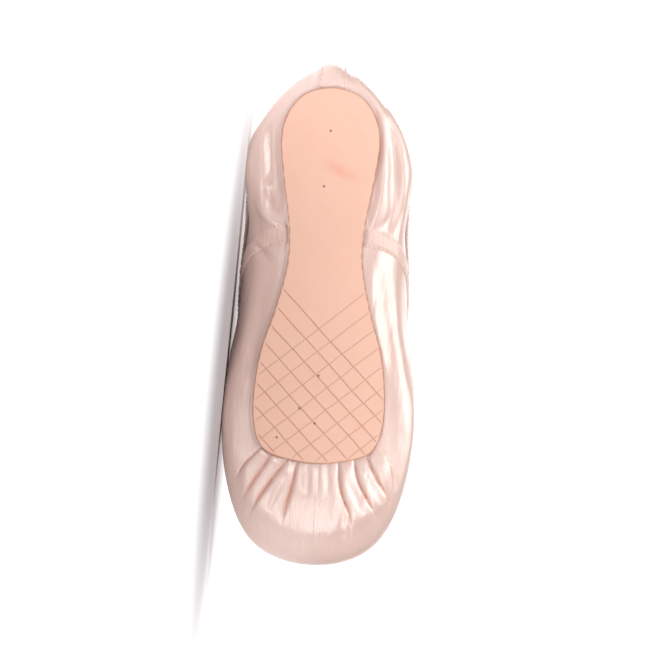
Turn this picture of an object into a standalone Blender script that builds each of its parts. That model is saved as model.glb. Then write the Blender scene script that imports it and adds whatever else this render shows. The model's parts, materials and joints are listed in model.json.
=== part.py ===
import bpy
import bmesh
import math
import numpy as np

# Whole shoe. The local frame has x from heel to toe, y across, z up from the underside of the outsole
LENGTH = 0.240
BALL_WIDTH = 0.092
HEEL_WIDTH = 0.080
HEEL_HEIGHT = 0.057
SIDE_HEIGHT = 0.045
INSTEP_HEIGHT = 0.056
VAMP_LENGTH = 0.082

# Walls and clearances
WALL = 0.0018
BOX_WALL = 0.0030
GAP = 0.0003

# Outsole and insole
SOLE_LENGTH = 0.1788
SOLE_WIDTH = 0.0628
SOLE_SETBACK = 0.0119
SOLE_THICKNESS = 0.0019
SOLE_EDGE_ROUND = 0.0006
ARCH_RISE = 0.0018
TOE_SPRING = 0.0010
MARGIN_WIDTH = 0.0080
MARGIN_FLAT = 0.0020
INSOLE_THICKNESS = 0.0016

# Casing round the collar, heel stay and side seams
CASING_DEPTH = 0.0070
CASING_THICKNESS = 0.0009
OUTLET_DIAMETER = 0.0030
STAY_WIDTH = 0.0134
STAY_THICKNESS = 0.0009
SEAM_WIDTH = 0.0092
SEAM_THICKNESS = 0.0009

# Weight of the leather against the cloth, volume for volume
LEATHER_TO_CLOTH = 3.0

# Facets: columns from heel to toe on one side, rows under the widest line and rows over it
COLUMNS = 39
ROWS_BELOW = 5
ROWS_ABOVE = 6

# Widest line seen from the sole. Columns: x by LENGTH, half width by BALL_WIDTH, z by INSTEP_HEIGHT
WIDEST = (
    (0.0000, 0.000, 0.360),
    (0.0105, 0.088, 0.360),
    (0.0320, 0.180, 0.355),
    (0.0720, 0.283, 0.345),
    (0.1120, 0.352, 0.255),
    (0.1510, 0.404, 0.210),
    (0.2080, 0.435, 0.188),
    (0.2650, 0.421, 0.245),
    (0.3200, 0.409, 0.380),
    (0.3900, 0.425, 0.460),
    (0.4700, 0.434, 0.440),
    (0.5300, 0.444, 0.390),
    (0.5900, 0.470, 0.300),
    (0.6500, 0.491, 0.210),
    (0.7080, 0.500, 0.185),
    (0.7700, 0.491, 0.188),
    (0.8300, 0.467, 0.215),
    (0.8800, 0.432, 0.255),
    (0.9200, 0.388, 0.300),
    (0.9500, 0.335, 0.310),
    (0.9750, 0.258, 0.315),
    (0.9920, 0.155, 0.315),
    (1.0000, 0.000, 0.315),
)

# Collar edge. Columns: x by the throat's distance from the heel, half width by HEEL_WIDTH, then z as
# shares of HEEL_HEIGHT, SIDE_HEIGHT and INSTEP_HEIGHT added together
COLLAR = (
    (0.035, 0.0000, 1.00, 0.00, 0.00),
    (0.043, 0.0950, 1.00, 0.00, 0.00),
    (0.078, 0.2050, 0.99, 0.00, 0.00),
    (0.150, 0.3400, 0.80, 0.20, 0.00),
    (0.235, 0.4300, 0.45, 0.56, 0.00),
    (0.317, 0.4750, 0.18, 0.84, 0.00),
    (0.411, 0.4810, 0.00, 1.02, 0.00),
    (0.538, 0.4880, 0.00, 1.00, 0.00),
    (0.660, 0.5020, 0.00, 0.92, 0.08),
    (0.755, 0.4950, 0.00, 0.68, 0.32),
    (0.835, 0.4430, 0.00, 0.35, 0.64),
    (0.900, 0.3550, 0.00, 0.12, 0.86),
    (0.955, 0.2320, 0.00, 0.00, 0.98),
    (0.990, 0.1100, 0.00, 0.00, 1.00),
    (1.000, 0.0000, 0.00, 0.00, 1.00),
)

# Edge of the outsole. Columns: x by SOLE_LENGTH from its heel end, half width by SOLE_WIDTH
SOLE_EDGE = (
    (0.000, 0.000),
    (0.005, 0.105),
    (0.016, 0.191),
    (0.030, 0.247),
    (0.056, 0.304),
    (0.083, 0.345),
    (0.110, 0.366),
    (0.150, 0.375),
    (0.190, 0.365),
    (0.243, 0.344),
    (0.297, 0.321),
    (0.351, 0.295),
    (0.403, 0.281),
    (0.457, 0.281),
    (0.510, 0.304),
    (0.564, 0.339),
    (0.618, 0.380),
    (0.672, 0.432),
    (0.725, 0.468),
    (0.778, 0.489),
    (0.832, 0.500),
    (0.884, 0.495),
    (0.930, 0.468),
    (0.960, 0.424),
    (0.978, 0.350),
    (0.991, 0.220),
    (0.998, 0.105),
    (1.000, 0.000),
)

# Points that face each other round the shoe. Columns: x on the widest line by LENGTH, x on the collar by
# the throat's distance from the heel, x on the outsole's edge by SOLE_LENGTH
FACING = (
    (0.000, 0.035, 0.000),
    (0.072, 0.110, 0.040),
    (0.208, 0.317, 0.213),
    (0.375, 0.560, 0.437),
    (0.500, 0.725, 0.600),
    (0.604, 0.835, 0.733),
    (0.708, 0.915, 0.860),
    (0.833, 0.965, 0.950),
    (0.925, 0.988, 0.986),
    (0.980, 0.998, 0.997),
    (1.000, 1.000, 1.000),
)

# Rise of the wall from the widest line to the collar. Columns: share of the way, then reach and height of
# the quarter, of the ball's side and of the toe
RISE = (
    (0.00, 0.00, 0.00, 0.000, 0.000, 0.000, 0.000),
    (0.11, 0.00, 0.11, 0.010, 0.190, 0.006, 0.190),
    (0.22, 0.01, 0.22, 0.045, 0.370, 0.026, 0.350),
    (0.33, 0.05, 0.33, 0.125, 0.530, 0.085, 0.465),
    (0.44, 0.13, 0.44, 0.240, 0.665, 0.195, 0.560),
    (0.56, 0.25, 0.56, 0.380, 0.785, 0.340, 0.665),
    (0.67, 0.42, 0.67, 0.535, 0.870, 0.500, 0.765),
    (0.78, 0.62, 0.78, 0.690, 0.930, 0.670, 0.855),
    (0.89, 0.82, 0.89, 0.845, 0.970, 0.840, 0.935),
    (1.00, 1.00, 1.00, 1.000, 1.000, 1.000, 1.000),
)

# Roundness under the widest line. Columns: x by LENGTH, power of the curve
ROUNDNESS = ((0.0, 2.6), (0.2, 3.4), (0.4, 2.5), (0.6, 2.4), (0.72, 3.2), (0.85, 2.8), (1.0, 2.9))

# Middle line of a side seam. Columns: share of the way from sole edge to collar, x by LENGTH
SEAM_LINE = ((0.0, 0.342), (0.25, 0.352), (0.5, 0.385), (0.75, 0.420), (1.0, 0.455))

for leftover in list(bpy.data.objects):
    bpy.data.objects.remove(leftover, do_unlink=True)


def spline(knots, values, where):
    """A smooth curve through the values at the knots, flat in its slope at neither end."""
    knots = np.asarray(knots, float)
    values = np.asarray(values, float).reshape(len(knots), -1)
    steps = np.diff(knots)
    slopes = np.diff(values, axis=0) / steps[:, None]
    tangents = np.empty_like(values)
    tangents[0] = slopes[0]
    tangents[-1] = slopes[-1]
    weight = (steps[1:] / (steps[1:] + steps[:-1]))[:, None]
    tangents[1:-1] = weight * slopes[:-1] + (1 - weight) * slopes[1:]
    where = np.clip(np.asarray(where, float), knots[0], knots[-1])
    shape = where.shape
    where = where.reshape(-1)
    cell = np.clip(np.searchsorted(knots, where, side="right") - 1, 0, len(knots) - 2)
    width = steps[cell]
    t = ((where - knots[cell]) / width)[:, None]
    width = width[:, None]
    found = (
        (2 * t ** 3 - 3 * t ** 2 + 1) * values[cell]
        + (t ** 3 - 2 * t ** 2 + t) * width * tangents[cell]
        + (3 * t ** 2 - 2 * t ** 3) * values[cell + 1]
        + (t ** 3 - t ** 2) * width * tangents[cell + 1]
    )
    return found.reshape(shape + (values.shape[1],))


class Edge:
    """A line from heel to toe on one side, met square by its mirror image at both ends."""

    def __init__(self, points):
        points = np.asarray(points, float)
        flip = np.ones(points.shape[1])
        flip[1] = -1
        whole = np.vstack([points[3:0:-1] * flip, points, points[-2:-5:-1] * flip])
        steps = np.linalg.norm(np.diff(whole, axis=0), axis=1)
        along = np.concatenate([[0], np.cumsum(steps)])
        start = along[3]
        self.total = along[len(points) + 2] - start
        self.knots = (along - start) / self.total
        self.points = whole

    def at(self, share):
        return spline(self.knots, self.points, share)

    def share_of_x(self, x):
        fine = np.linspace(0, 1, 2001)
        return np.interp(x, np.maximum.accumulate(self.at(fine)[:, 0]), fine)


def arch(x):
    """Height of the underside of the outsole: level at the heel seat and the ball, raised between."""
    share = (x - SOLE_SETBACK) / SOLE_LENGTH
    waist = np.clip((share - 0.27) / 0.36, 0, 1)
    toe = np.clip((share - 0.90) / 0.10, 0, 1.5)
    return ARCH_RISE * np.sin(math.pi * waist) ** 2 + TOE_SPRING * toe ** 2 * 0.8


def inset(points, distance):
    """The same line moved inward in plan."""
    flip = np.array([1.0, -1.0])
    whole = np.vstack([points[1:2] * flip, points, points[-2:-1] * flip])
    run = whole[2:] - whole[:-2]
    run /= np.linalg.norm(run, axis=1)[:, None]
    moved = points + distance * np.column_stack([run[:, 1], -run[:, 0]])
    moved[:, 1] = np.maximum(moved[:, 1], 0)
    return moved


THROAT = LENGTH - VAMP_LENGTH
MARGIN_LEVEL = SOLE_THICKNESS + GAP
INSOLE_LEVEL = MARGIN_LEVEL + WALL + GAP

widest = Edge([(x * LENGTH, y * BALL_WIDTH, z * INSTEP_HEIGHT) for x, y, z in WIDEST])
collar = Edge(
    [
        (x * THROAT, y * HEEL_WIDTH, a * HEEL_HEIGHT + b * SIDE_HEIGHT + c * INSTEP_HEIGHT)
        for x, y, a, b, c in COLLAR
    ]
)
sole_edge = Edge([(SOLE_SETBACK + x * SOLE_LENGTH, y * SOLE_WIDTH) for x, y in SOLE_EDGE])

facing = np.array(FACING)
facing_widest = widest.share_of_x(facing[:, 0] * LENGTH)
facing_collar = collar.share_of_x(facing[:, 1] * THROAT)
facing_sole = sole_edge.share_of_x(SOLE_SETBACK + facing[:, 2] * SOLE_LENGTH)
for shares in (facing_widest, facing_collar, facing_sole):
    shares[0] = 0
    shares[-1] = 1


def mirrored_spline(knots, values, where):
    """The spline with its knots and values carried on past both ends, turned about each end."""
    knots = np.concatenate([-knots[2:0:-1], knots, 2 - knots[-2:-4:-1]])
    values = np.concatenate([-values[2:0:-1], values, 2 - values[-2:-4:-1]])
    return spline(knots, values, where)[..., 0]


def fine_inset(distance):
    fine = np.linspace(0, 1, 241)
    return fine, inset(sole_edge.at(fine), distance)


FINE, FLAT_LINE = fine_inset(MARGIN_FLAT)
FINE, MARGIN_LINE = fine_inset(MARGIN_WIDTH)


def in_plan(line, share):
    return np.stack([np.interp(share, FINE, line[:, 0]), np.interp(share, FINE, line[:, 1])], axis=-1)


def key_points(u):
    """Margin edge, end of the flat margin, widest point and collar of the column at u, from 0 to 1."""
    side = widest.at(u)
    top = collar.at(mirrored_spline(facing_widest, facing_collar, u))
    at_sole = np.clip(mirrored_spline(facing_widest, facing_sole, u), 0, 1)
    flat = in_plan(FLAT_LINE, at_sole)
    margin = in_plan(MARGIN_LINE, at_sole)
    flat = np.concatenate([flat, (arch(flat[..., :1]) + MARGIN_LEVEL)], axis=-1)
    margin = np.concatenate([margin, (arch(margin[..., :1]) + MARGIN_LEVEL)], axis=-1)
    return margin, flat, side, top


def smooth_step(low, high, x):
    t = np.clip((x - low) / (high - low), 0, 1)
    return t * t * (3 - 2 * t)


RISE_TABLE = np.array(RISE)
ROUND_TABLE = np.array(ROUNDNESS)


def surface(u, v):
    """Outer face of the upper. u goes round from heel at 0 to toe at 1, and is below 0 on the other side.
    v is 0 at the margin's edge, 1 where its flat ends, 2 at the widest line and 3 at the collar."""
    u, v = np.broadcast_arrays(np.asarray(u, float), np.asarray(v, float))
    over = np.abs(u) > 1
    side = np.where(over, 2 - np.abs(u), np.abs(u))
    sign = np.where(u < 0, -1.0, 1.0) * np.where(over, -1.0, 1.0)
    margin, flat, wide, top = key_points(side)
    share = wide[..., 0] / LENGTH
    # Under the flat
    a = np.clip(v, 0, 1)[..., None]
    first = margin + (flat - margin) * a
    first[..., 2] = arch(first[..., 0]) + MARGIN_LEVEL
    # From the flat out to the widest line
    turn = np.clip(v - 1, 0, 1) * math.pi / 2
    power = np.interp(share, ROUND_TABLE[:, 0], ROUND_TABLE[:, 1])
    reach = np.clip(np.sin(turn), 0, 1) ** (2 / power)
    lift = 1 - np.clip(np.cos(turn), 0, 1) ** (2 / power)
    second = np.empty(first.shape)
    second[..., :2] = flat[..., :2] + (wide - flat)[..., :2] * reach[..., None]
    second[..., 2] = flat[..., 2] + (wide - flat)[..., 2] * lift
    # From the widest line up to the collar
    s = np.clip(v - 2, 0, 1)
    rise = spline(RISE_TABLE[:, 0], RISE_TABLE[:, 1:], s)
    ball = smooth_step(0.50, 0.66, share)[..., None]
    toe = smooth_step(0.74, 0.95, share)[..., None]
    pair = rise[..., 0:2] * (1 - ball) + rise[..., 2:4] * ball * (1 - toe) + rise[..., 4:6] * toe * ball
    third = np.empty(first.shape)
    third[..., :2] = wide[..., :2] + (top - wide)[..., :2] * pair[..., :1]
    third[..., 2] = wide[..., 2] + (top - wide)[..., 2] * pair[..., 1]
    low = (v <= 1)[..., None]
    high = (v > 2)[..., None]
    found = np.where(low, first, np.where(high, third, second))
    found[..., 1] *= sign
    return found


def outward(u, v):
    """Unit normal of the outer face."""
    du = 0.004
    dv = 0.02
    v_low = np.clip(v - dv, 0, 3)
    v_high = np.clip(v + dv, 0, 3)
    round_it = surface(u + du, v) - surface(u - du, v)
    up_it = surface(u, v_high) - surface(u, v_low)
    normal = np.cross(up_it, round_it)
    length = np.linalg.norm(normal, axis=-1, keepdims=True)
    return normal / np.maximum(length, 1e-12)


def thickness(u, v):
    """The satin wall, thicker where the toe box is hardened."""
    side = np.where(np.abs(u) > 1, 2 - np.abs(u), np.abs(u))
    share = widest.at(side)[..., 0] / LENGTH
    hard = smooth_step(0.60, 0.74, share) * smooth_step(1.1, 1.7, v) * (1 - smooth_step(2.55, 2.9, v))
    return WALL + (BOX_WALL - WALL) * hard


def height_of_row(u, below_collar):
    """v at a distance down the wall from the collar."""
    steps = np.linspace(2, 3, 101)
    found = []
    for one in np.ravel(u):
        line = surface(one, steps)
        run = np.concatenate([[0], np.cumsum(np.linalg.norm(np.diff(line, axis=0), axis=1))])
        found.append(np.interp(run[-1] - below_collar, run, steps))
    return np.array(found).reshape(np.shape(u))


def row_past_sole(u, past):
    """v where the wall comes out from behind the outsole by a distance."""
    steps = np.linspace(1, 2, 201)
    found = []
    for one in np.ravel(u):
        line = surface(one, steps)
        run = np.linalg.norm(line[:, :2] - line[0, :2], axis=1)
        found.append(np.interp(MARGIN_FLAT + past, run, steps))
    return np.array(found).reshape(np.shape(u))


def rows(u):
    """The rows of facets of the column at u."""
    edge = row_past_sole(u, GAP)
    below = height_of_row(u, CASING_DEPTH + GAP)
    parts = [0.0 * u, 1.0 + 0.0 * u, edge]
    for step in range(1, ROWS_BELOW + 1):
        parts.append(edge + (2 - edge) * step / (ROWS_BELOW + 1))
    parts.append(2.0 + 0.0 * u)
    for step in range(1, ROWS_ABOVE + 1):
        parts.append(2 + (below - 2) * step / (ROWS_ABOVE + 1))
    parts.append(below)
    parts.append((below + 3) / 2)
    parts.append(3.0 + 0.0 * u)
    return np.stack(parts, axis=-1)


def make(name, points, faces, colour, roughness):
    """One object of its own material from points in the local frame."""
    mesh = bpy.data.meshes.new(name)
    mesh.from_pydata([tuple(p) for p in np.asarray(points, float)], [], faces)
    mesh.validate()
    shell = bmesh.new()
    shell.from_mesh(mesh)
    bmesh.ops.remove_doubles(shell, verts=shell.verts, dist=1e-7)
    bmesh.ops.recalc_face_normals(shell, faces=shell.faces)
    bmesh.ops.triangulate(shell, faces=shell.faces, quad_method="SHORT_EDGE")
    shell.to_mesh(mesh)
    shell.free()
    item = bpy.data.objects.new(name, mesh)
    bpy.context.scene.collection.objects.link(item)
    material = bpy.data.materials.new(name)
    material.use_nodes = True
    shader = material.node_tree.nodes["Principled BSDF"]
    shader.inputs["Base Color"].default_value = colour + (1.0,)
    shader.inputs["Roughness"].default_value = roughness
    shader.inputs["Metallic"].default_value = 0.0
    mesh.materials.append(material)
    return item


def ring_solid(name, sections, colour, roughness):
    """A solid whose closed section, one a column, is carried once round the shoe."""
    count, size = sections.shape[:2]
    faces = []
    for i in range(count):
        j = (i + 1) % count
        for a in range(size):
            b = (a + 1) % size
            faces.append((i * size + a, i * size + b, j * size + b, j * size + a))
    return make(name, sections.reshape(-1, 3), faces, colour, roughness)


def strip_solid(name, sections, colour, roughness):
    """A solid whose closed section is carried from one end to the other and capped."""
    count, size = sections.shape[:2]
    faces = [tuple(range(size)), tuple((count - 1) * size + a for a in reversed(range(size)))]
    for i in range(count - 1):
        for a in range(size):
            b = (a + 1) % size
            faces.append((i * size + a, (i + 1) * size + a, (i + 1) * size + b, i * size + b))
    return make(name, sections.reshape(-1, 3), faces, colour, roughness)


def plate(name, lines, colour, roughness):
    """A flat piece from lines stacked bottom to top, each from heel to toe with its mirror image."""
    size = len(lines[0])
    points = []
    loops = []
    for line in lines:
        right = line * np.array([1.0, -1.0, 1.0])
        loop = np.vstack([line, right[-2:0:-1]])
        loops.append(len(points))
        points.extend(loop)
    around = 2 * size - 2
    faces = []
    for low, high in zip(loops[:-1], loops[1:]):
        for i in range(around):
            j = (i + 1) % around
            faces.append((low + i, low + j, high + j, high + i))
    for start, turned in ((loops[0], False), (loops[-1], True)):
        for i in range(size - 1):
            left_a = start + i
            left_b = start + i + 1
            right_a = start + (around - i) % around
            right_b = start + (around - i - 1) % around
            ring = [left_a, left_b, right_b, right_a]
            ring = list(dict.fromkeys(ring))
            faces.append(tuple(ring[::-1] if turned else ring))
    return make(name, points, faces, colour, roughness)


# Columns of the upper, closer together at the heel and at the toe
even = np.linspace(0, 1, COLUMNS + 1)
half = even - 0.055 * np.sin(2 * math.pi * even)
columns = np.concatenate([half, -half[-2:0:-1]])

# Upper: outer face and inner face with the wall between them
row_values = rows(columns)
column_grid = np.repeat(columns[:, None], row_values.shape[1], axis=1)
outer = surface(column_grid, row_values)
inner = outer - outward(column_grid, row_values) * thickness(column_grid, row_values)[..., None]
upper = ring_solid("upper", np.concatenate([outer, inner[:, ::-1]], axis=1), (0.87, 0.70, 0.66), 0.45)

# Outsole and insole
shares = np.linspace(0, 1, 45)
shares = shares - 0.045 * np.sin(2 * math.pi * shares)


def level(line, height):
    return np.column_stack([line, arch(line[:, 0]) + height])


sole_line = sole_edge.at(shares)
sole_line[0, 1] = sole_line[-1, 1] = 0
outsole = plate(
    "outsole",
    [
        level(inset(sole_line, SOLE_EDGE_ROUND), 0),
        level(inset(sole_line, SOLE_EDGE_ROUND * 0.3), SOLE_EDGE_ROUND * 0.3),
        level(sole_line, SOLE_EDGE_ROUND),
        level(sole_line, SOLE_THICKNESS),
    ],
    (0.89, 0.57, 0.45),
    0.6,
)
board_line = inset(sole_line, MARGIN_FLAT)
boss_line = inset(sole_line, MARGIN_WIDTH + GAP)
insole = plate(
    "insole",
    [
        level(boss_line, MARGIN_LEVEL),
        level(boss_line, INSOLE_LEVEL),
        level(board_line, INSOLE_LEVEL),
        level(board_line, INSOLE_LEVEL + INSOLE_THICKNESS - SOLE_EDGE_ROUND),
        level(inset(board_line, SOLE_EDGE_ROUND), INSOLE_LEVEL + INSOLE_THICKNESS),
    ],
    (0.80, 0.72, 0.62),
    0.8,
)

# Casing folded over the collar
deep = height_of_row(columns, CASING_DEPTH)
middle = (deep + 3) / 2
top_line = np.full_like(columns, 3.0)
lift = surface(columns, top_line) - surface(columns, top_line - 0.02)
lift /= np.linalg.norm(lift, axis=-1, keepdims=True)


def off_wall(v, distance):
    return surface(columns, v) + outward(columns, v) * distance


casing_out = GAP + CASING_THICKNESS
casing_in = -(WALL + GAP + CASING_THICKNESS)
crown_out = off_wall(top_line, casing_out * 0.8) + lift * (GAP + CASING_THICKNESS * 0.75)
crown_in = off_wall(top_line, casing_in + GAP) + lift * (GAP + CASING_THICKNESS * 0.75)
casing = [
    off_wall(deep, GAP),
    off_wall(deep, casing_out),
    off_wall(middle, casing_out),
    off_wall(top_line, casing_out) + lift * GAP * 0.2,
    crown_out,
    off_wall(top_line, -WALL / 2) + lift * (GAP + CASING_THICKNESS),
    crown_in,
    off_wall(top_line, casing_in) + lift * GAP * 0.2,
    off_wall(middle, casing_in),
    off_wall(deep, casing_in),
    off_wall(deep, -WALL - GAP),
    off_wall(middle, -WALL - GAP),
    off_wall(top_line, -WALL - GAP) + lift * GAP,
    off_wall(top_line, GAP) + lift * GAP,
    off_wall(middle, GAP),
]
binding = ring_solid("collar_binding", np.stack(casing, axis=1), (0.85, 0.66, 0.62), 0.5)

# Outlet of the casing, at the throat
throat_spot = surface(np.array(1.0), (height_of_row(np.array([1.0]), CASING_DEPTH)[0] + 3) / 2)
throat_normal = outward(np.array(1.0), np.array(2.9))
bpy.ops.mesh.primitive_cylinder_add(vertices=16, radius=OUTLET_DIAMETER / 2, depth=2 * CASING_THICKNESS)
outlet = bpy.context.object
outlet.name = "outlet_cutter"
outlet.hide_render = True
outlet.display_type = "WIRE"
turn = np.array([0.0, 0.0, 1.0])
from mathutils import Vector, Matrix

aim = Vector(throat_normal).to_track_quat("Z", "Y").to_matrix().to_4x4()
centre = Vector(throat_spot + throat_normal * (GAP + CASING_THICKNESS * 0.9))
outlet.data.transform(Matrix.Translation(centre) @ aim)
cut = binding.modifiers.new("outlet", "BOOLEAN")
cut.operation = "DIFFERENCE"
cut.solver = "EXACT"
cut.object = outlet


def overlay(name, left, right, v_rows, across, thick, colour):
    """A strip laid on the wall between two lines of u, one pair a row."""
    sections = []
    for low, high, v in zip(left, right, v_rows):
        u = np.linspace(low, high, across + 1)
        flat = np.full_like(u, v)
        base = surface(u, flat)
        normal = outward(u, flat)
        under = base + normal * GAP
        over = base + normal * (GAP + thick)
        sections.append(np.concatenate([under, over[::-1]]))
    return strip_solid(name, np.array(sections), colour, 0.45)


def strip_rows(u, first_past):
    """The upper's own rows between the outsole and the casing."""
    values = rows(np.array([u]))[0]
    start = row_past_sole(np.array([u]), first_past)[0]
    inside = values[3:-2]
    return np.concatenate([[start], inside])


# Heel stay, over the back seam
stay_rows = strip_rows(0.0, GAP * 2)
stay_half = []
for v in stay_rows:
    u = np.linspace(0, 0.12, 61)
    line = surface(u, np.full_like(u, v))
    run = np.concatenate([[0], np.cumsum(np.linalg.norm(np.diff(line, axis=0), axis=1))])
    stay_half.append(np.interp(STAY_WIDTH / 2, run, u))
stay_half = np.array(stay_half)
overlay("heel_stay", -stay_half, stay_half, stay_rows, 6, STAY_THICKNESS, (0.86, 0.69, 0.65))

# Side seams, where the vamp laps over the quarters
seam_table = np.array(SEAM_LINE)
middle_u = widest.share_of_x(0.39 * LENGTH)
seam_rows = strip_rows(middle_u, GAP * 2)
lines = [surface(np.array(middle_u), v) for v in seam_rows]
run = np.concatenate([[0], np.cumsum(np.linalg.norm(np.diff(np.array(lines), axis=0), axis=1))])
seam_x = np.interp(run / run[-1], seam_table[:, 0], seam_table[:, 1]) * LENGTH
for side, name in ((1, "side_seam_left"), (-1, "side_seam_right")):
    low = []
    high = []
    for x, v in zip(seam_x, seam_rows):
        u = np.linspace(0.15, 0.75, 241)
        line = surface(u, np.full_like(u, v))
        low.append(side * np.interp(x - SEAM_WIDTH / 2, line[:, 0], u))
        high.append(side * np.interp(x + SEAM_WIDTH / 2, line[:, 0], u))
    overlay(name, low, high, seam_rows, 2, SEAM_THICKNESS, (0.88, 0.71, 0.67))


def solids():
    return [o for o in bpy.data.objects if o.type == "MESH" and not o.hide_render]


def coordinates(item):
    found = np.empty(len(item.data.vertices) * 3)
    item.data.vertices.foreach_get("co", found)
    return found.reshape(-1, 3)


def resting_turn():
    """The turn that lays the shoe on its side, on the facet of its hull that its centre of mass is over."""
    total = 0.0
    moment = np.zeros(3)
    cloud = bmesh.new()
    for item in solids():
        points = coordinates(item)
        corners = np.array([points[list(p.vertices)] for p in item.data.polygons])
        volumes = np.einsum("ij,ij->i", corners[:, 0], np.cross(corners[:, 1], corners[:, 2])) / 6
        weight = LEATHER_TO_CLOTH if item.name == "outsole" else 1.0
        moment += weight * (corners.sum(axis=1) / 4 * volumes[:, None]).sum(axis=0)
        total += weight * volumes.sum()
        for point in points:
            cloud.verts.new(point)
    centre = moment / total
    bmesh.ops.convex_hull(cloud, input=cloud.verts)
    best = None
    for face in cloud.faces:
        a, b, c = (np.array(v.co) for v in face.verts[:3])
        normal = np.cross(b - a, c - a)
        size = np.linalg.norm(normal)
        if size < 1e-9:
            continue
        normal /= size
        if np.dot(normal, a - centre) < 0:
            normal = -normal
        if normal[1] < 0.8:
            continue
        foot = centre + normal * np.dot(a - centre, normal)
        sides = [np.dot(np.cross(q - p, foot - p), normal) for p, q in ((a, b), (b, c), (c, a))]
        if all(s >= -1e-9 for s in sides) or all(s <= 1e-9 for s in sides):
            reach = np.dot(a - centre, normal)
            if best is None or reach < best[0]:
                best = (reach, normal)
    cloud.free()
    up = -best[1]
    along = np.array([1.0, 0, 0]) - up * up[0]
    along /= np.linalg.norm(along)
    return np.array([along, np.cross(up, along), up])


# Laid on its side, sole toward -Y, toe toward +X
rest = resting_turn()
everything = np.vstack([coordinates(item) @ rest.T for item in solids()])
low = everything.min(axis=0)
high = everything.max(axis=0)
shift = -np.array([(low[0] + high[0]) / 2, (low[1] + high[1]) / 2, low[2]])
for item in solids() + [outlet]:
    placed = coordinates(item) @ rest.T + shift
    item.data.vertices.foreach_set("co", placed.ravel())
    item.data.update()

for item in solids():
    bpy.ops.object.select_all(action="DESELECT")
    item.select_set(True)
    bpy.context.view_layer.objects.active = item
    bpy.ops.object.shade_smooth()
    item.data.set_sharp_from_angle(angle=math.radians(35))
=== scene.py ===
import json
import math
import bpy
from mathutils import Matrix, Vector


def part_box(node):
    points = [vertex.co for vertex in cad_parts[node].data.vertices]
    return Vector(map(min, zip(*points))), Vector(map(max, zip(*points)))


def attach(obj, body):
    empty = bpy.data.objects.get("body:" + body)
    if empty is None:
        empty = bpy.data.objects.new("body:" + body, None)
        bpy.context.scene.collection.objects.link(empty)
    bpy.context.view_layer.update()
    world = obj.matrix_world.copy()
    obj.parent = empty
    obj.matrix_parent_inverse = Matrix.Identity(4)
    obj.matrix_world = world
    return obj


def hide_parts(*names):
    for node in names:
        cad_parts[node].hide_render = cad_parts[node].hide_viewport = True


bl_info = {
    "name": "Pointe shoe",
    "version": (1, 0, 0),
    "blender": (4, 5, 0),
    "location": "3D View > Sidebar > Pointe shoe",
    "description": "Dresses the packed pointe shoe in satin and leather and sets it on a studio stage",
    "category": "Object",
}

import bpy
import bmesh
import numpy as np
from mathutils import Matrix, Vector

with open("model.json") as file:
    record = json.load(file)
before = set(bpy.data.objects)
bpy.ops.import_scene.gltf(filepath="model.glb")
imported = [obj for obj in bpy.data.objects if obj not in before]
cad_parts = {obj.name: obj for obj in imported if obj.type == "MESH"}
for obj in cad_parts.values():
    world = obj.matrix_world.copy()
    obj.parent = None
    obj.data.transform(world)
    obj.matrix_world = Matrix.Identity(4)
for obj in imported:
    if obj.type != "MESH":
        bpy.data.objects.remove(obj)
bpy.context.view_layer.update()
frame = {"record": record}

# The last's tables, in shares of the named sizes
# Widest line. Columns: x by length, half width by ball width, z by instep height
WIDEST = (
    (0.0000, 0.000, 0.360),
    (0.0105, 0.088, 0.360),
    (0.0320, 0.180, 0.355),
    (0.0720, 0.283, 0.345),
    (0.1120, 0.352, 0.255),
    (0.1510, 0.404, 0.210),
    (0.2080, 0.435, 0.188),
    (0.2650, 0.421, 0.245),
    (0.3200, 0.409, 0.380),
    (0.3900, 0.425, 0.460),
    (0.4700, 0.434, 0.440),
    (0.5300, 0.444, 0.390),
    (0.5900, 0.470, 0.300),
    (0.6500, 0.491, 0.210),
    (0.7080, 0.500, 0.185),
    (0.7700, 0.491, 0.188),
    (0.8300, 0.467, 0.215),
    (0.8800, 0.432, 0.255),
    (0.9200, 0.388, 0.300),
    (0.9500, 0.335, 0.310),
    (0.9750, 0.258, 0.315),
    (0.9920, 0.155, 0.315),
    (1.0000, 0.000, 0.315),
)

# Collar edge. Columns: x by the throat's distance from the heel, half width by heel width, then z as
# shares of heel height, side height and instep height added together
COLLAR = (
    (0.035, 0.0000, 1.00, 0.00, 0.00),
    (0.043, 0.0950, 1.00, 0.00, 0.00),
    (0.078, 0.2050, 0.99, 0.00, 0.00),
    (0.150, 0.3400, 0.80, 0.20, 0.00),
    (0.235, 0.4300, 0.45, 0.56, 0.00),
    (0.317, 0.4750, 0.18, 0.84, 0.00),
    (0.411, 0.4810, 0.00, 1.02, 0.00),
    (0.538, 0.4880, 0.00, 1.00, 0.00),
    (0.660, 0.5020, 0.00, 0.92, 0.08),
    (0.755, 0.4950, 0.00, 0.68, 0.32),
    (0.835, 0.4430, 0.00, 0.35, 0.64),
    (0.900, 0.3550, 0.00, 0.12, 0.86),
    (0.955, 0.2320, 0.00, 0.00, 0.98),
    (0.990, 0.1100, 0.00, 0.00, 1.00),
    (1.000, 0.0000, 0.00, 0.00, 1.00),
)

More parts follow.
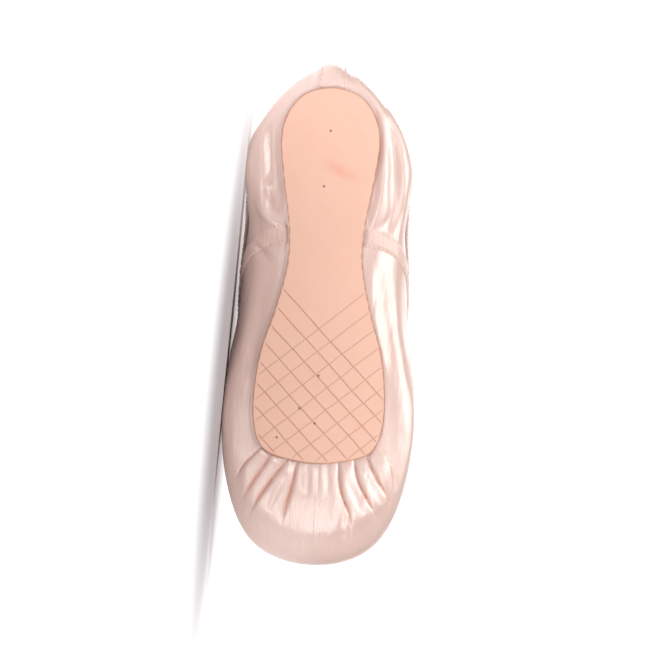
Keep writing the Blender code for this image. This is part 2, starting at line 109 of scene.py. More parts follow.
# Edge of the outsole. Columns: x by sole length from its heel end, half width by sole width
SOLE_EDGE = (
    (0.000, 0.000),
    (0.005, 0.105),
    (0.016, 0.191),
    (0.030, 0.247),
    (0.056, 0.304),
    (0.083, 0.345),
    (0.110, 0.366),
    (0.150, 0.375),
    (0.190, 0.365),
    (0.243, 0.344),
    (0.297, 0.321),
    (0.351, 0.295),
    (0.403, 0.281),
    (0.457, 0.281),
    (0.510, 0.304),
    (0.564, 0.339),
    (0.618, 0.380),
    (0.672, 0.432),
    (0.725, 0.468),
    (0.778, 0.489),
    (0.832, 0.500),
    (0.884, 0.495),
    (0.930, 0.468),
    (0.960, 0.424),
    (0.978, 0.350),
    (0.991, 0.220),
    (0.998, 0.105),
    (1.000, 0.000),
)

# Points that face each other. Columns: x on the widest line, x on the collar, x on the sole's edge
FACING = (
    (0.000, 0.035, 0.000),
    (0.072, 0.110, 0.040),
    (0.208, 0.317, 0.213),
    (0.375, 0.560, 0.437),
    (0.500, 0.725, 0.600),
    (0.604, 0.835, 0.733),
    (0.708, 0.915, 0.860),
    (0.833, 0.965, 0.950),
    (0.925, 0.988, 0.986),
    (0.980, 0.998, 0.997),
    (1.000, 1.000, 1.000),
)

# Rise from the widest line. Columns: share of the way, reach and height of quarter, ball's side and toe
RISE = (
    (0.00, 0.00, 0.00, 0.000, 0.000, 0.000, 0.000),
    (0.11, 0.00, 0.11, 0.010, 0.190, 0.006, 0.190),
    (0.22, 0.01, 0.22, 0.045, 0.370, 0.026, 0.350),
    (0.33, 0.05, 0.33, 0.125, 0.530, 0.085, 0.465),
    (0.44, 0.13, 0.44, 0.240, 0.665, 0.195, 0.560),
    (0.56, 0.25, 0.56, 0.380, 0.785, 0.340, 0.665),
    (0.67, 0.42, 0.67, 0.535, 0.870, 0.500, 0.765),
    (0.78, 0.62, 0.78, 0.690, 0.930, 0.670, 0.855),
    (0.89, 0.82, 0.89, 0.845, 0.970, 0.840, 0.935),
    (1.00, 1.00, 1.00, 1.000, 1.000, 1.000, 1.000),
)

# Roundness under the widest line. Columns: x by length, power of the curve
ROUNDNESS = ((0.0, 2.6), (0.2, 3.4), (0.4, 2.5), (0.6, 2.4), (0.72, 3.2), (0.85, 2.8), (1.0, 2.9))

# Middle line of a side seam. Columns: share of the way from sole edge to collar, x by length
SEAM_LINE = ((0.0, 0.342), (0.25, 0.352), (0.5, 0.385), (0.75, 0.420), (1.0, 0.455))

# Where a side seam crosses the widest line, by length
SEAM_CROSSES = 0.39

# Creases between the pleats under the toe, from the left round to the right. Each: depth, then its points
# from the sole's edge outward, x by length and y by ball width, left above zero
CREASES = (
    (0.8, ((0.7708, 0.300), (0.8067, 0.380), (0.8346, 0.417))),
    (1.0, ((0.7817, 0.235), (0.8304, 0.314), (0.8704, 0.372), (0.8842, 0.391))),
    (1.0, ((0.7888, 0.148), (0.8317, 0.228), (0.8763, 0.301), (0.9083, 0.336))),
    (1.0, ((0.7946, 0.100), (0.8367, 0.116), (0.8813, 0.145), (0.9200, 0.164))),
    (1.0, ((0.7908, -0.117), (0.8467, -0.137), (0.8904, -0.180), (0.9380, -0.196))),
    (1.0, ((0.7788, -0.193), (0.8267, -0.225), (0.8663, -0.282), (0.9042, -0.338))),
    (1.0, ((0.7767, -0.259), (0.8267, -0.329), (0.8604, -0.385), (0.8825, -0.393))),
    (0.8, ((0.7508, -0.308), (0.7908, -0.390), (0.8404, -0.425))),
)

# Half width of the painted warm glow and shade deep in a crease, and of the crease itself
CREASE_LIGHT, CREASE_CUT = 0.00042, 0.0006

# Small tucks inside the middle pleats: depth, width by pleat width, then their points
TUCKS = (
    (0.30, 0.5, ((0.7925, 0.084), (0.8250, 0.070), (0.8520, 0.068))),
    (0.36, 0.5, ((0.7925, 0.045), (0.8250, 0.038), (0.8620, 0.040))),
    (0.30, 0.4, ((0.7925, -0.010), (0.8250, -0.012), (0.8600, -0.016))),
    (0.34, 0.5, ((0.7925, -0.055), (0.8250, -0.064), (0.8560, -0.070))),
    (0.26, 0.5, ((0.8700, -0.150), (0.8900, -0.150), (0.9400, -0.150))),
    (0.36, 0.5, ((0.8350, 0.175), (0.8600, 0.205), (0.8900, 0.232))),
    (0.36, 0.5, ((0.8300, -0.175), (0.8600, -0.215), (0.8900, -0.262))),
    (0.30, 0.5, ((0.8150, -0.262), (0.8450, -0.310), (0.8700, -0.352))),
)

# Soft folds of the slack quarters, seen from the sole. Each: height by fold height, below zero for a
# trough, width by fold width, then its points, x by length and y by ball width
UNDER_FOLDS = (
    (-0.75, 1.1, ((0.085, 0.312), (0.190, 0.296), (0.285, 0.268))),
    (0.6, 1.0, ((0.110, 0.366), (0.189, 0.352), (0.259, 0.352))),
    (1.15, 0.55, ((0.290, 0.366), (0.302, 0.335), (0.318, 0.290), (0.328, 0.240))),
    (-0.9, 0.6, ((0.255, 0.318), (0.285, 0.300), (0.305, 0.262))),
    (-0.6, 0.7, ((0.260, 0.400), (0.305, 0.372), (0.345, 0.345))),
    (0.4, 0.8, ((0.100, 0.290), (0.135, 0.335), (0.180, 0.392))),
    (-0.6, 0.7, ((0.352, 0.240), (0.362, 0.300), (0.372, 0.345))),
    (-1.0, 0.4, ((0.368, 0.360), (0.384, 0.325), (0.396, 0.285))),
    (1.0, 0.8, ((0.150, -0.278), (0.210, -0.285), (0.270, -0.275), (0.315, -0.240))),
    (-1.1, 0.9, ((0.120, -0.300), (0.200, -0.335), (0.290, -0.340), (0.335, -0.300))),
    (0.9, 0.9, ((0.080, -0.300), (0.180, -0.372), (0.290, -0.390), (0.380, -0.372))),
    (-0.6, 0.7, ((0.270, -0.395), (0.310, -0.330), (0.330, -0.262))),
    (-0.5, 0.9, ((0.420, 0.285), (0.520, 0.330), (0.620, 0.390))),
    (-0.5, 0.9, ((0.420, -0.285), (0.520, -0.330), (0.620, -0.390))),
    (0.45, 1.0, ((0.430, 0.350), (0.540, 0.395), (0.640, 0.430))),
    (0.45, 1.0, ((0.430, -0.350), (0.540, -0.395), (0.640, -0.430))),
    (0.7, 0.8, ((0.020, -0.085), (0.052, -0.180), (0.110, -0.262), (0.200, -0.294))),
    (-0.3, 0.5, ((0.060, -0.160), (0.100, -0.215), (0.150, -0.245))),
    (0.6, 0.5, ((0.012, 0.074), (0.030, 0.080), (0.050, 0.086))),
    (-0.6, 0.4, ((0.012, 0.112), (0.030, 0.118), (0.050, 0.128))),
    (-0.5, 0.4, ((0.012, -0.092), (0.026, -0.104), (0.045, -0.120))),
    (-0.5, 0.8, ((0.025, 0.120), (0.060, 0.215), (0.100, 0.270))),
)

# Soft folds of the walls, seen from the side. Each: side, height, width, then its points, x by length and
# height by side height
WALL_FOLDS = (
    (1, -1.0, 1.0, ((0.06, 0.85), (0.16, 0.62), (0.28, 0.50), (0.36, 0.52))),
    (1, 0.8, 1.0, ((0.07, 0.62), (0.18, 0.42), (0.30, 0.34))),
    (1, -0.8, 0.8, ((0.10, 1.05), (0.20, 0.84), (0.33, 0.74))),
    (1, -0.7, 1.0, ((0.44, 0.80), (0.54, 0.55), (0.62, 0.42))),
    (1, 0.6, 1.0, ((0.46, 0.60), (0.56, 0.40), (0.64, 0.30))),
    (-1, -1.0, 1.0, ((0.05, 0.75), (0.15, 0.58), (0.27, 0.52), (0.36, 0.60))),
    (-1, 0.8, 0.9, ((0.08, 0.50), (0.20, 0.36), (0.32, 0.36))),
    (-1, -0.8, 0.8, ((0.12, 1.00), (0.22, 0.78), (0.35, 0.72))),
    (-1, -0.8, 1.0, ((0.43, 0.78), (0.53, 0.58), (0.61, 0.40))),
    (-1, 0.6, 1.0, ((0.45, 0.58), (0.56, 0.42), (0.65, 0.28))),
)

# How far the rows of stitches lie inside the edge of a seam, the stay and the casing, and half the thread
SEAM_ROW, STAY_ROW, CASING_ROW = 0.0009, 0.0010, 0.0011
HALF_THREAD = 0.00028

# Scored lines of the forefoot. Columns: way across the lines in degrees from the shoe's length, first line
# by length, spacing by score pitch, number of lines, strength
SCORES = ((45.4, 0.3754, 0.972, 8, 1.0), (-40.1, 0.3992, 1.009, 9, 0.6))

# Tack holes of the sole. Columns: x by length, y by ball width
TACKS = ((0.1354, 0.003), (0.2458, 0.025), (0.6204, 0.009), (0.6863, 0.099), (0.7150, 0.018), (0.7458, 0.210))


def metres(name, default, description):
    return bpy.props.FloatProperty(name=name, description=description, default=default, unit="LENGTH")


def tint(name, default, description):
    return bpy.props.FloatVectorProperty(
        name=name, description=description, subtype="COLOR", size=3, min=0, max=1, default=default)


class PointeSizes(bpy.types.PropertyGroup):
    """Sizes of the shoe, as in its solids, and of the work on it."""

    length: metres("Length", 0.240, "Heel to toe")
    ball_width: metres("Ball width", 0.092, "Width over the ball")
    heel_width: metres("Heel width", 0.080, "Width over the counter")
    heel_height: metres("Heel height", 0.057, "Collar over the sole at the heel")
    side_height: metres("Side height", 0.045, "Collar over the sole at the side")
    instep_height: metres("Instep height", 0.056, "Throat over the sole")
    vamp_length: metres("Vamp length", 0.082, "Toe to throat")
    wall: metres("Wall", 0.0018, "Thickness of satin and lining")
    gap: metres("Gap", 0.0003, "Clearance between pieces")
    sole_length: metres("Sole length", 0.1788, "Leather outsole, end to end")
    sole_width: metres("Sole width", 0.0628, "Leather outsole over the ball")
    sole_setback: metres("Sole setback", 0.0119, "Heel of the shoe to heel of the sole")
    sole_thickness: metres("Sole thickness", 0.0019, "Leather outsole")
    arch_rise: metres("Arch rise", 0.0018, "Sole over its plane at the waist")
    toe_spring: metres("Toe spring", 0.0010, "Rise of the sole at its toe")
    margin_width: metres("Margin width", 0.0080, "Satin turned in under the sole")
    margin_flat: metres("Margin flat", 0.0020, "How far the sole laps the flat")
    casing_depth: metres("Casing depth", 0.0070, "Depth of the collar's casing")
    tape: metres("Tape", 0.0009, "Thickness of casing, stay and seams")
    stay_width: metres("Stay width", 0.0134, "Width of the heel stay")
    seam_width: metres("Seam width", 0.0092, "Width of a side seam")
    outlet: metres("Outlet", 0.0030, "Hole of the casing at the throat")
    pleat_depth: metres("Pleat depth", 0.0021, "Depth of the toe pleats")
    pleat_width: metres("Pleat width", 0.0034, "How far a pleat's lip reaches")
    fold_height: metres("Fold height", 0.0016, "Height of the soft folds")
    fold_width: metres("Fold width", 0.0036, "Half width of the soft folds")
    stitch_length: metres("Stitch length", 0.0023, "Pitch of the sewing")
    score_pitch: metres("Score pitch", 0.0081, "Spacing of the scored lines")


class PointeLooks(bpy.types.PropertyGroup):
    """Colours of the shoe and light on the stage."""

    satin: tint("Satin", (0.77, 0.548, 0.478), "Colour of the satin")
    # Painted warm glow and shade deep in the toe creases
    crease: tint("Crease", (0.82, 0.37, 0.22), "Colour deep in a crease")
    leather: tint("Leather", (0.83, 0.52, 0.40), "Colour of the sole")
    # Darker cut edge and border of the sole: partly the leather's own edge, partly painted shade
    leather_edge: tint("Leather edge", (0.34, 0.15, 0.09), "Colour of the sole's cut edge")
    cloth: tint("Sock cloth", (0.74, 0.64, 0.53), "Colour of the insole")
    thread: tint("Thread", (0.92, 0.77, 0.70), "Colour of the sewing thread")
    camera_distance: metres("Camera distance", 1.60, "Camera to sole")
    view_width: metres("View width", 0.3090, "Width of the picture at the sole")


def spline(knots, values, where):
    """A smooth curve through the values at the knots."""
    knots = np.asarray(knots, float)
    values = np.asarray(values, float).reshape(len(knots), -1)
    steps = np.diff(knots)
    slopes = np.diff(values, axis=0) / steps[:, None]
    tangents = np.empty_like(values)
    tangents[0] = slopes[0]
    tangents[-1] = slopes[-1]
    weight = (steps[1:] / (steps[1:] + steps[:-1]))[:, None]
    tangents[1:-1] = weight * slopes[:-1] + (1 - weight) * slopes[1:]
    where = np.clip(np.asarray(where, float), knots[0], knots[-1])
    shape = where.shape
    where = where.reshape(-1)
    cell = np.clip(np.searchsorted(knots, where, side="right") - 1, 0, len(knots) - 2)
    width = steps[cell]
    t = ((where - knots[cell]) / width)[:, None]
    width = width[:, None]
    found = (
        (2 * t ** 3 - 3 * t ** 2 + 1) * values[cell]
        + (t ** 3 - 2 * t ** 2 + t) * width * tangents[cell]
        + (3 * t ** 2 - 2 * t ** 3) * values[cell + 1]
        + (t ** 3 - t ** 2) * width * tangents[cell + 1]
    )
    return found.reshape(shape + (values.shape[1],))


def smooth_step(low, high, x):
    t = np.clip((x - low) / (high - low), 0, 1)
    return t * t * (3 - 2 * t)


def run_along(points):
    """Distance of each point of a line from its start."""
    return np.concatenate([[0], np.cumsum(np.linalg.norm(np.diff(points, axis=0), axis=1))])


def bell(x):
    return np.exp(-x ** 2)


class Edge:
    """A line from heel to toe on one side, met square by its mirror image at both ends."""

    def __init__(self, points):
        points = np.asarray(points, float)
        flip = np.ones(points.shape[1])
        flip[1] = -1
        whole = np.vstack([points[3:0:-1] * flip, points, points[-2:-5:-1] * flip])
        along = run_along(whole)
        start = along[3]
        self.total = along[len(points) + 2] - start
        self.knots = (along - start) / self.total
        self.points = whole

    def at(self, share):
        return spline(self.knots, self.points, share)

    def share_of_x(self, x):
        fine = np.linspace(0, 1, 2001)
        return np.interp(x, np.maximum.accumulate(self.at(fine)[:, 0]), fine)


def inset(points, distance):
    """The same line moved inward in plan."""
    flip = np.array([1.0, -1.0])
    whole = np.vstack([points[1:2] * flip, points, points[-2:-1] * flip])
    run = whole[2:] - whole[:-2]
    run /= np.linalg.norm(run, axis=1)[:, None]
    moved = points + distance * np.column_stack([run[:, 1], -run[:, 0]])
    moved[:, 1] = np.maximum(moved[:, 1], 0)
    return moved


def mirrored_spline(knots, values, where):
    knots = np.concatenate([-knots[2:0:-1], knots, 2 - knots[-2:-4:-1]])
    values = np.concatenate([-values[2:0:-1], values, 2 - values[-2:-4:-1]])
    return spline(knots, values, where)[..., 0]


class Last:
    """The form that the shoe is pulled over, from the named sizes. Its own frame has x from heel to toe, y
    to the left and z up from the underside of the sole."""

    def __init__(self, size):
        self.size = size
        throat = size.length - size.vamp_length
        self.throat = throat
        self.margin_level = size.sole_thickness + size.gap
        self.widest = Edge(
            [(x * size.length, y * size.ball_width, z * size.instep_height) for x, y, z in WIDEST])
        self.collar = Edge([
            (x * throat, y * size.heel_width,
             a * size.heel_height + b * size.side_height + c * size.instep_height)
            for x, y, a, b, c in COLLAR])
        self.sole = Edge(
            [(size.sole_setback + x * size.sole_length, y * size.sole_width) for x, y in SOLE_EDGE])
        facing = np.array(FACING)
        self.on_widest = self.widest.share_of_x(facing[:, 0] * size.length)
        self.on_collar = self.collar.share_of_x(facing[:, 1] * throat)
        self.on_sole = self.sole.share_of_x(size.sole_setback + facing[:, 2] * size.sole_length)
        for shares in (self.on_widest, self.on_collar, self.on_sole):
            shares[0] = 0
            shares[-1] = 1
        self.fine = np.linspace(0, 1, 241)
        self.flat_line = inset(self.sole.at(self.fine), size.margin_flat)
        self.margin_line = inset(self.sole.at(self.fine), size.margin_width)
        self.place_in_frame()

    def arch(self, x):
        share = (x - self.size.sole_setback) / self.size.sole_length
        waist = np.clip((share - 0.27) / 0.36, 0, 1)
        toe = np.clip((share - 0.90) / 0.10, 0, 1.5)
        return self.size.arch_rise * np.sin(math.pi * waist) ** 2 + self.size.toe_spring * toe ** 2 * 0.8

    def in_plan(self, line, share):
        return np.stack(
            [np.interp(share, self.fine, line[:, 0]), np.interp(share, self.fine, line[:, 1])], axis=-1)

    def surface(self, u, v):
        """Outer face of the upper. u goes from heel at 0 to toe at 1, below 0 on the right side. v is 0 at
        the margin's edge, 1 where its flat ends, 2 at the widest line and 3 at the collar."""
        size = self.size
        u, v = np.broadcast_arrays(np.asarray(u, float), np.asarray(v, float))
        over = np.abs(u) > 1
        side = np.where(over, 2 - np.abs(u), np.abs(u))
        sign = np.where(u < 0, -1.0, 1.0) * np.where(over, -1.0, 1.0)
        wide = self.widest.at(side)
        top = self.collar.at(mirrored_spline(self.on_widest, self.on_collar, side))
        at_sole = np.clip(mirrored_spline(self.on_widest, self.on_sole, side), 0, 1)
        flat = self.in_plan(self.flat_line, at_sole)
        margin = self.in_plan(self.margin_line, at_sole)
        flat = np.concatenate([flat, self.arch(flat[..., :1]) + self.margin_level], axis=-1)
        margin = np.concatenate([margin, self.arch(margin[..., :1]) + self.margin_level], axis=-1)
        share = wide[..., 0] / size.length
        a = np.clip(v, 0, 1)[..., None]
        first = margin + (flat - margin) * a
        first[..., 2] = self.arch(first[..., 0]) + self.margin_level
        turn = np.clip(v - 1, 0, 1) * math.pi / 2
        table = np.array(ROUNDNESS)
        power = np.interp(share, table[:, 0], table[:, 1])
        reach = np.clip(np.sin(turn), 0, 1) ** (2 / power)
        lift = 1 - np.clip(np.cos(turn), 0, 1) ** (2 / power)
        second = np.empty(first.shape)
        second[..., :2] = flat[..., :2] + (wide - flat)[..., :2] * reach[..., None]
        second[..., 2] = flat[..., 2] + (wide - flat)[..., 2] * lift
        table = np.array(RISE)
        rise = spline(table[:, 0], table[:, 1:], np.clip(v - 2, 0, 1))
        ball = smooth_step(0.50, 0.66, share)[..., None]
        toe = smooth_step(0.74, 0.95, share)[..., None]
        pair = rise[..., 0:2] * (1 - ball) + rise[..., 2:4] * ball * (1 - toe) + rise[..., 4:6] * toe * ball
        third = np.empty(first.shape)
        third[..., :2] = wide[..., :2] + (top - wide)[..., :2] * pair[..., :1]
        third[..., 2] = wide[..., 2] + (top - wide)[..., 2] * pair[..., 1]
        found = np.where((v <= 1)[..., None], first, np.where((v > 2)[..., None], third, second))
        found[..., 1] *= sign
        return found

    def outward(self, u, v):
        """Unit normal of the outer face."""
        u, v = np.broadcast_arrays(np.asarray(u, float), np.asarray(v, float))
        low = np.clip(v - 0.02, 0, 3)
        high = np.clip(v + 0.02, 0, 3)
        round_it = self.surface(u + 0.004, v) - self.surface(u - 0.004, v)
        up_it = self.surface(u, high) - self.surface(u, low)
        normal = np.cross(up_it, round_it)
        return normal / np.maximum(np.linalg.norm(normal, axis=-1, keepdims=True), 1e-12)

    def below_collar(self, u, distance):
        """v at a distance down the wall from the collar."""
        u = np.atleast_1d(np.asarray(u, float))
        steps = np.linspace(2, 3, 121)
        lines = self.surface(u[:, None], steps[None, :])
        run = np.linalg.norm(np.diff(lines, axis=1), axis=2)
        run = np.concatenate([np.zeros((len(u), 1)), np.cumsum(run, axis=1)], axis=1)
        return np.array([np.interp(r[-1] - distance, r, steps) for r in run])

    def past_sole(self, u, distance):
        """v where the wall comes out from behind the sole by a distance."""
        u = np.atleast_1d(np.asarray(u, float))
        steps = np.linspace(1, 2, 201)
        lines = self.surface(u[:, None], steps[None, :])
        run = np.linalg.norm(lines[..., :2] - lines[:, :1, :2], axis=2)
        return np.array([np.interp(self.size.margin_flat + distance, r, steps) for r in run])

    def place_in_frame(self):
        """The turn and shift from the last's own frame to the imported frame, read from the sole there."""
        mounts = {m["name"]: m for m in frame["record"]["mounts"]}
        heel = Vector(mounts["sole_heel"]["pos_m"])
        ball = Vector(mounts["sole_ball"]["pos_m"])
        up = -Vector(mounts["sole_heel"]["axis"]).normalized()
        along = (ball - heel).normalized()
        along = (along - up * along.dot(up)).normalized()
        left = up.cross(along)
        self.turn = np.array([along, left, up]).T
        edge = self.sole.at(np.linspace(0, 1, 45) - 0.045 * np.sin(2 * math.pi * np.linspace(0, 1, 45)))
        size = self.size
        rim = []
        for side in (1, -1):
            for height in (0.0006, size.sole_thickness):
                rim.append(np.column_stack([edge[:, 0], side * edge[:, 1], self.arch(edge[:, 0]) + height]))
        rim = np.vstack(rim) @ self.turn.T
        low, high = (np.array(corner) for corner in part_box("outsole"))
        self.shift = np.array([low[0] - rim[:, 0].min(), 0.0, (low[2] + high[2]) / 2
                               - (rim[:, 2].min() + rim[:, 2].max()) / 2])
        self.shift[1] = heel[1] - float((np.array([heel[0] - self.shift[0], 0, 0]) @ self.turn.T)[1])

    def to_frame(self, points):
        return np.asarray(points) @ self.turn.T + self.shift

    def direction(self, vectors):
        return np.asarray(vectors) @ self.turn.T


def sizes():
    return bpy.context.scene.pointe_sizes


def looks():
    return bpy.context.scene.pointe_looks


def clear_selection():
    if bpy.context.mode != "OBJECT":
        bpy.ops.object.mode_set(mode="OBJECT")
    bpy.ops.object.select_all(action="DESELECT")


def only(piece):
    clear_selection()
    piece.select_set(True)
    bpy.context.view_layer.objects.active = piece


def edit(piece, step, **settings):
    """Runs one edit mode operator on all of a piece."""
    only(piece)
    bpy.ops.object.mode_set(mode="EDIT")
    bpy.ops.mesh.select_all(action="SELECT")
    step(**settings)
    bpy.ops.object.mode_set(mode="OBJECT")


def apply_modifier(piece, kind, **settings):
    only(piece)
    modifier = piece.modifiers.new(kind.lower(), kind)
    for name, value in settings.items():
        setattr(modifier, name, value)
    bpy.ops.object.modifier_apply(modifier=modifier.name)


def vertices_of(piece):
    flat = np.empty(len(piece.data.vertices) * 3)
    piece.data.vertices.foreach_get("co", flat)
    return flat.reshape(-1, 3)


def add_grid(name, across, up):
    """A grid primitive whose vertices still have to be laid on the shoe, with their shares of its sides."""
    clear_selection()
    bpy.ops.mesh.primitive_grid_add(x_subdivisions=across, y_subdivisions=up, size=1, location=(0, 0, 0))
    piece = bpy.context.object
    piece.name = name
    piece.data.name = name
    flat = vertices_of(piece) + 0.5
    return piece, flat[:, 0], flat[:, 1]


def lay(piece, points):
    """Moves each vertex to its place. What would sink under the floor is pressed flat on it."""
    points = np.array(points, float)
    points[:, 2] = np.maximum(points[:, 2], 0.0)
    piece.data.vertices.foreach_set("co", points.ravel())
    piece.data.update()


def paint(piece, name, values):
    """Keeps a number on each vertex, for the material."""
    layer = piece.data.attributes.new(name, "FLOAT", "POINT")
    layer.data.foreach_set("value", np.asarray(values, np.float32))


def unwrap(piece, name, across, up):
    """Sets the piece's UV map, in metres, from a pair of numbers a vertex."""
    mesh = piece.data
    while mesh.uv_layers:
        mesh.uv_layers.remove(mesh.uv_layers[0])
    layer = mesh.uv_layers.new(name=name)
    index = np.empty(len(mesh.loops), np.int32)
    mesh.loops.foreach_get("vertex_index", index)
    layer.data.foreach_set("uv", np.column_stack([across[index], up[index]]).astype(np.float32).ravel())


def face_out(piece, near, normal):
    """Turns the faces so that the one nearest a point faces along the normal."""
    centres = np.empty(len(piece.data.polygons) * 3)
    piece.data.polygons.foreach_get("center", centres)
    nearest = int(np.argmin(((centres.reshape(-1, 3) - near) ** 2).sum(axis=1)))
    if np.dot(piece.data.polygons[nearest].normal, normal) < 0:
        edit(piece, bpy.ops.mesh.flip_normals)


def thicken(piece, thickness, lined=False):
    """Gives a sheet its wall, inward. A lined one keeps its second material for the inner face."""
    apply_modifier(piece, "SOLIDIFY", thickness=thickness, offset=-1, use_even_offset=False,
                   material_offset=1 if lined else 0)


def smooth(piece, angle=40):
    only(piece)
    bpy.ops.object.shade_smooth_by_angle(angle=math.radians(angle))


def wear(piece, *materials):
    piece.data.materials.clear()
    for material in materials:
        piece.data.materials.append(material)


def finish_piece(piece, material, slot, *nodes):
    if material:
        wear(piece, material)
    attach(piece, "root")
    if nodes:
        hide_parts(*nodes)


def measure_line(x, y, points):
    """Share along a crease of its nearest point, and distance from it, above zero to its left."""
    points = np.array(points)
    knots = run_along(points)
    if len(points) > 2:
        line = spline(knots, points, np.linspace(0, knots[-1], 25))
    else:
        line = points
    best = np.full(x.shape, 1e9)
    share = np.zeros(x.shape)
    off = np.zeros(x.shape)
    run = run_along(line)
    for i in range(len(line) - 1):
        step = line[i + 1] - line[i]
        t = np.clip(((x - line[i, 0]) * step[0] + (y - line[i, 1]) * step[1]) / (step @ step), 0, 1)
        dx = x - (line[i, 0] + step[0] * t)
        dy = y - (line[i, 1] + step[1] * t)
        distance = np.hypot(dx, dy)
        nearer = distance < best
        side = np.sign(step[0] * (y - line[i, 1]) - step[1] * (x - line[i, 0]))
        best = np.where(nearer, distance, best)
        off = np.where(nearer, distance * side, off)
        share = np.where(nearer, (run[i] + t * (run[i + 1] - run[i])) / run[-1], share)
    return share, off


def in_metres(points, length, width):
    return np.array([(a * length, b * width) for a, b in points])


class Relief:
    """Height of pleats and folds over the last's surface, and how deep in a crease each point lies, for the
    painted crease glow and shade.
    """

    def __init__(self, last):
        self.last = last

    def beyond_sole(self, x, y):
        """Distance outside the sole's edge in plan."""
        line = self.last.sole.at(np.linspace(0, 1, 181))
        best = np.full(x.shape, 1e9)
        for a, b in line:
            best = np.minimum(best, (x - a) ** 2 + (np.abs(y) - b) ** 2)
        half = np.interp(x, line[:, 0], line[:, 1], left=0, right=0)
        inside = (np.abs(y) < half) & (x > line[0, 0]) & (x < line[-1, 0])
        return np.sqrt(best) * np.where(inside, -1, 1)

    def pleats(self, x, y, under):
        """Each pleat swells between two creases beside the sole and dies out toward the platform."""
        size = self.last.size
        out = self.beyond_sole(x, y)
        from_edge = smooth_step(-0.0004, 0.0016, out)
        under = under * smooth_step(0.745, 0.775, x / size.length)
        height = np.zeros(x.shape)
        crease = np.zeros(x.shape)
        lines = []
        for depth, points in CREASES:
            points = in_metres(points, size.length, size.ball_width)
            reach = np.linalg.norm(np.diff(points, axis=0), axis=1).sum()
            before = points[0] - 0.006 * (points[1] - points[0]) / np.linalg.norm(points[1] - points[0])
            after = points[-1] + 0.020 * (points[-1] - points[-2]) / np.linalg.norm(points[-1] - points[-2])
            _, off = measure_line(x, y, [before] + list(points) + [after])
            share, near = measure_line(x, y, points)
            lines.append((depth, reach, off))
            fade = (1 - smooth_step(0.55, 1.0, share)) * under
            # Painted warm glow and shade deep in each crease, stronger toward its outer end
            glow = smooth_step(-0.001, 0.0005, out) * (0.35 + 0.65 * smooth_step(0.1, 0.7, share))
            crease = np.maximum(crease, bell(near / CREASE_LIGHT) * fade * depth * glow)
            height -= 0.30 * size.pleat_depth * depth * bell(near / CREASE_CUT) * fade * from_edge
        for (_, reach_a, off_a), (_, reach_b, off_b) in zip(lines, lines[1:]):
            inside = (off_a < 0) & (off_b > 0)
            a, b = np.maximum(-off_a, 0), np.maximum(off_b, 0)
            f = a / np.maximum(a + b, 1e-6)
            width = a + b
            reach = reach_a * (1 - f) + reach_b * f
            fade = 1 - smooth_step(0.45, 1.08, out / np.maximum(reach, 1e-6))
            wide = np.clip(width / 0.009, 0.25, 1.0)
            low = np.minimum(f, 1 - f)
            pillow = (1 - np.exp(-low * width / 0.0014)) * (0.75 + 0.25 * np.sin(math.pi * f))
            leaning = (1 - np.exp(-a / 0.0007)) * (1 - 0.85 * f) * (1 - np.exp(-b / 0.0009))
            swell = 0.42 * pillow + 0.72 * leaning
            height += np.where(inside, size.pleat_depth * wide * swell * fade, 0) * from_edge * under
        # The gathers stand full in front of the platform, which is flat and turns away
        brow = x - (0.930 - 0.55 * (y / size.ball_width) ** 2) * size.length
        across = 1 - smooth_step(0.30, 0.42, np.abs(y) / size.ball_width)
        lobe = np.where(brow < 0, bell(brow / 0.010), bell(brow / 0.0045))
        height += 0.42 * size.pleat_depth * lobe * across * under
        for depth, width, points in TUCKS:
            share, off = measure_line(x, y, in_metres(points, size.length, size.ball_width))
            ends = np.sin(math.pi * np.clip(0.15 + 0.85 * share, 0, 1)) ** 0.6
            w = width * size.pleat_width
            height -= depth * size.pleat_depth * ends * bell(off / w) * under * from_edge
        return height, crease

    def folds(self, x, y, z, under):
        size = self.last.size
        out = self.beyond_sole(x, y)
        from_edge = smooth_step(0.0, 0.0030, out)
        height = np.zeros(x.shape)
        for rise, width, points in UNDER_FOLDS:
            share, off = measure_line(x, y, in_metres(points, size.length, size.ball_width))
            ends = np.sin(math.pi * np.clip(0.08 + 0.84 * share, 0, 1)) ** 0.7
            past = bell(np.abs(off) / (width * size.fold_width))
            height += rise * size.fold_height * ends * past * under * from_edge
        for side, rise, width, points in WALL_FOLDS:
            share, off = measure_line(x, z, in_metres(points, size.length, size.side_height))
            ends = np.sin(math.pi * np.clip(0.05 + 0.9 * share, 0, 1)) ** 0.8
            past = bell(np.abs(off) / (width * size.fold_width * 1.1))
            here = smooth_step(0.2, 0.5, side * y / (0.5 * size.heel_width)) * (1 - under)
            height += rise * size.fold_height * 0.8 * ends * past * here
        return height

    def at(self, v, points):
        x, y, z = points[..., 0], points[..., 1], points[..., 2]
        under = 1 - smooth_step(1.55, 1.95, v)
        pleat, crease = self.pleats(x, y, 1 - smooth_step(1.72, 1.98, v))
        fold = self.folds(x, y, z, under)
        edge = smooth_step(1.0, 1.03, v) * (1 - smooth_step(2.86, 2.95, v))
        return (pleat + fold) * edge, crease

    def raised(self, u, v, off=0.0):
        """Points at a distance off the creased satin, the way out, and how deep in a crease they lie, for the
        painted crease glow and shade.
        """
        base = self.last.surface(u, v)
        normal = self.last.outward(u, v)
        height, crease = self.at(v, base)
        return base + normal * (off + height)[:, None], normal, crease


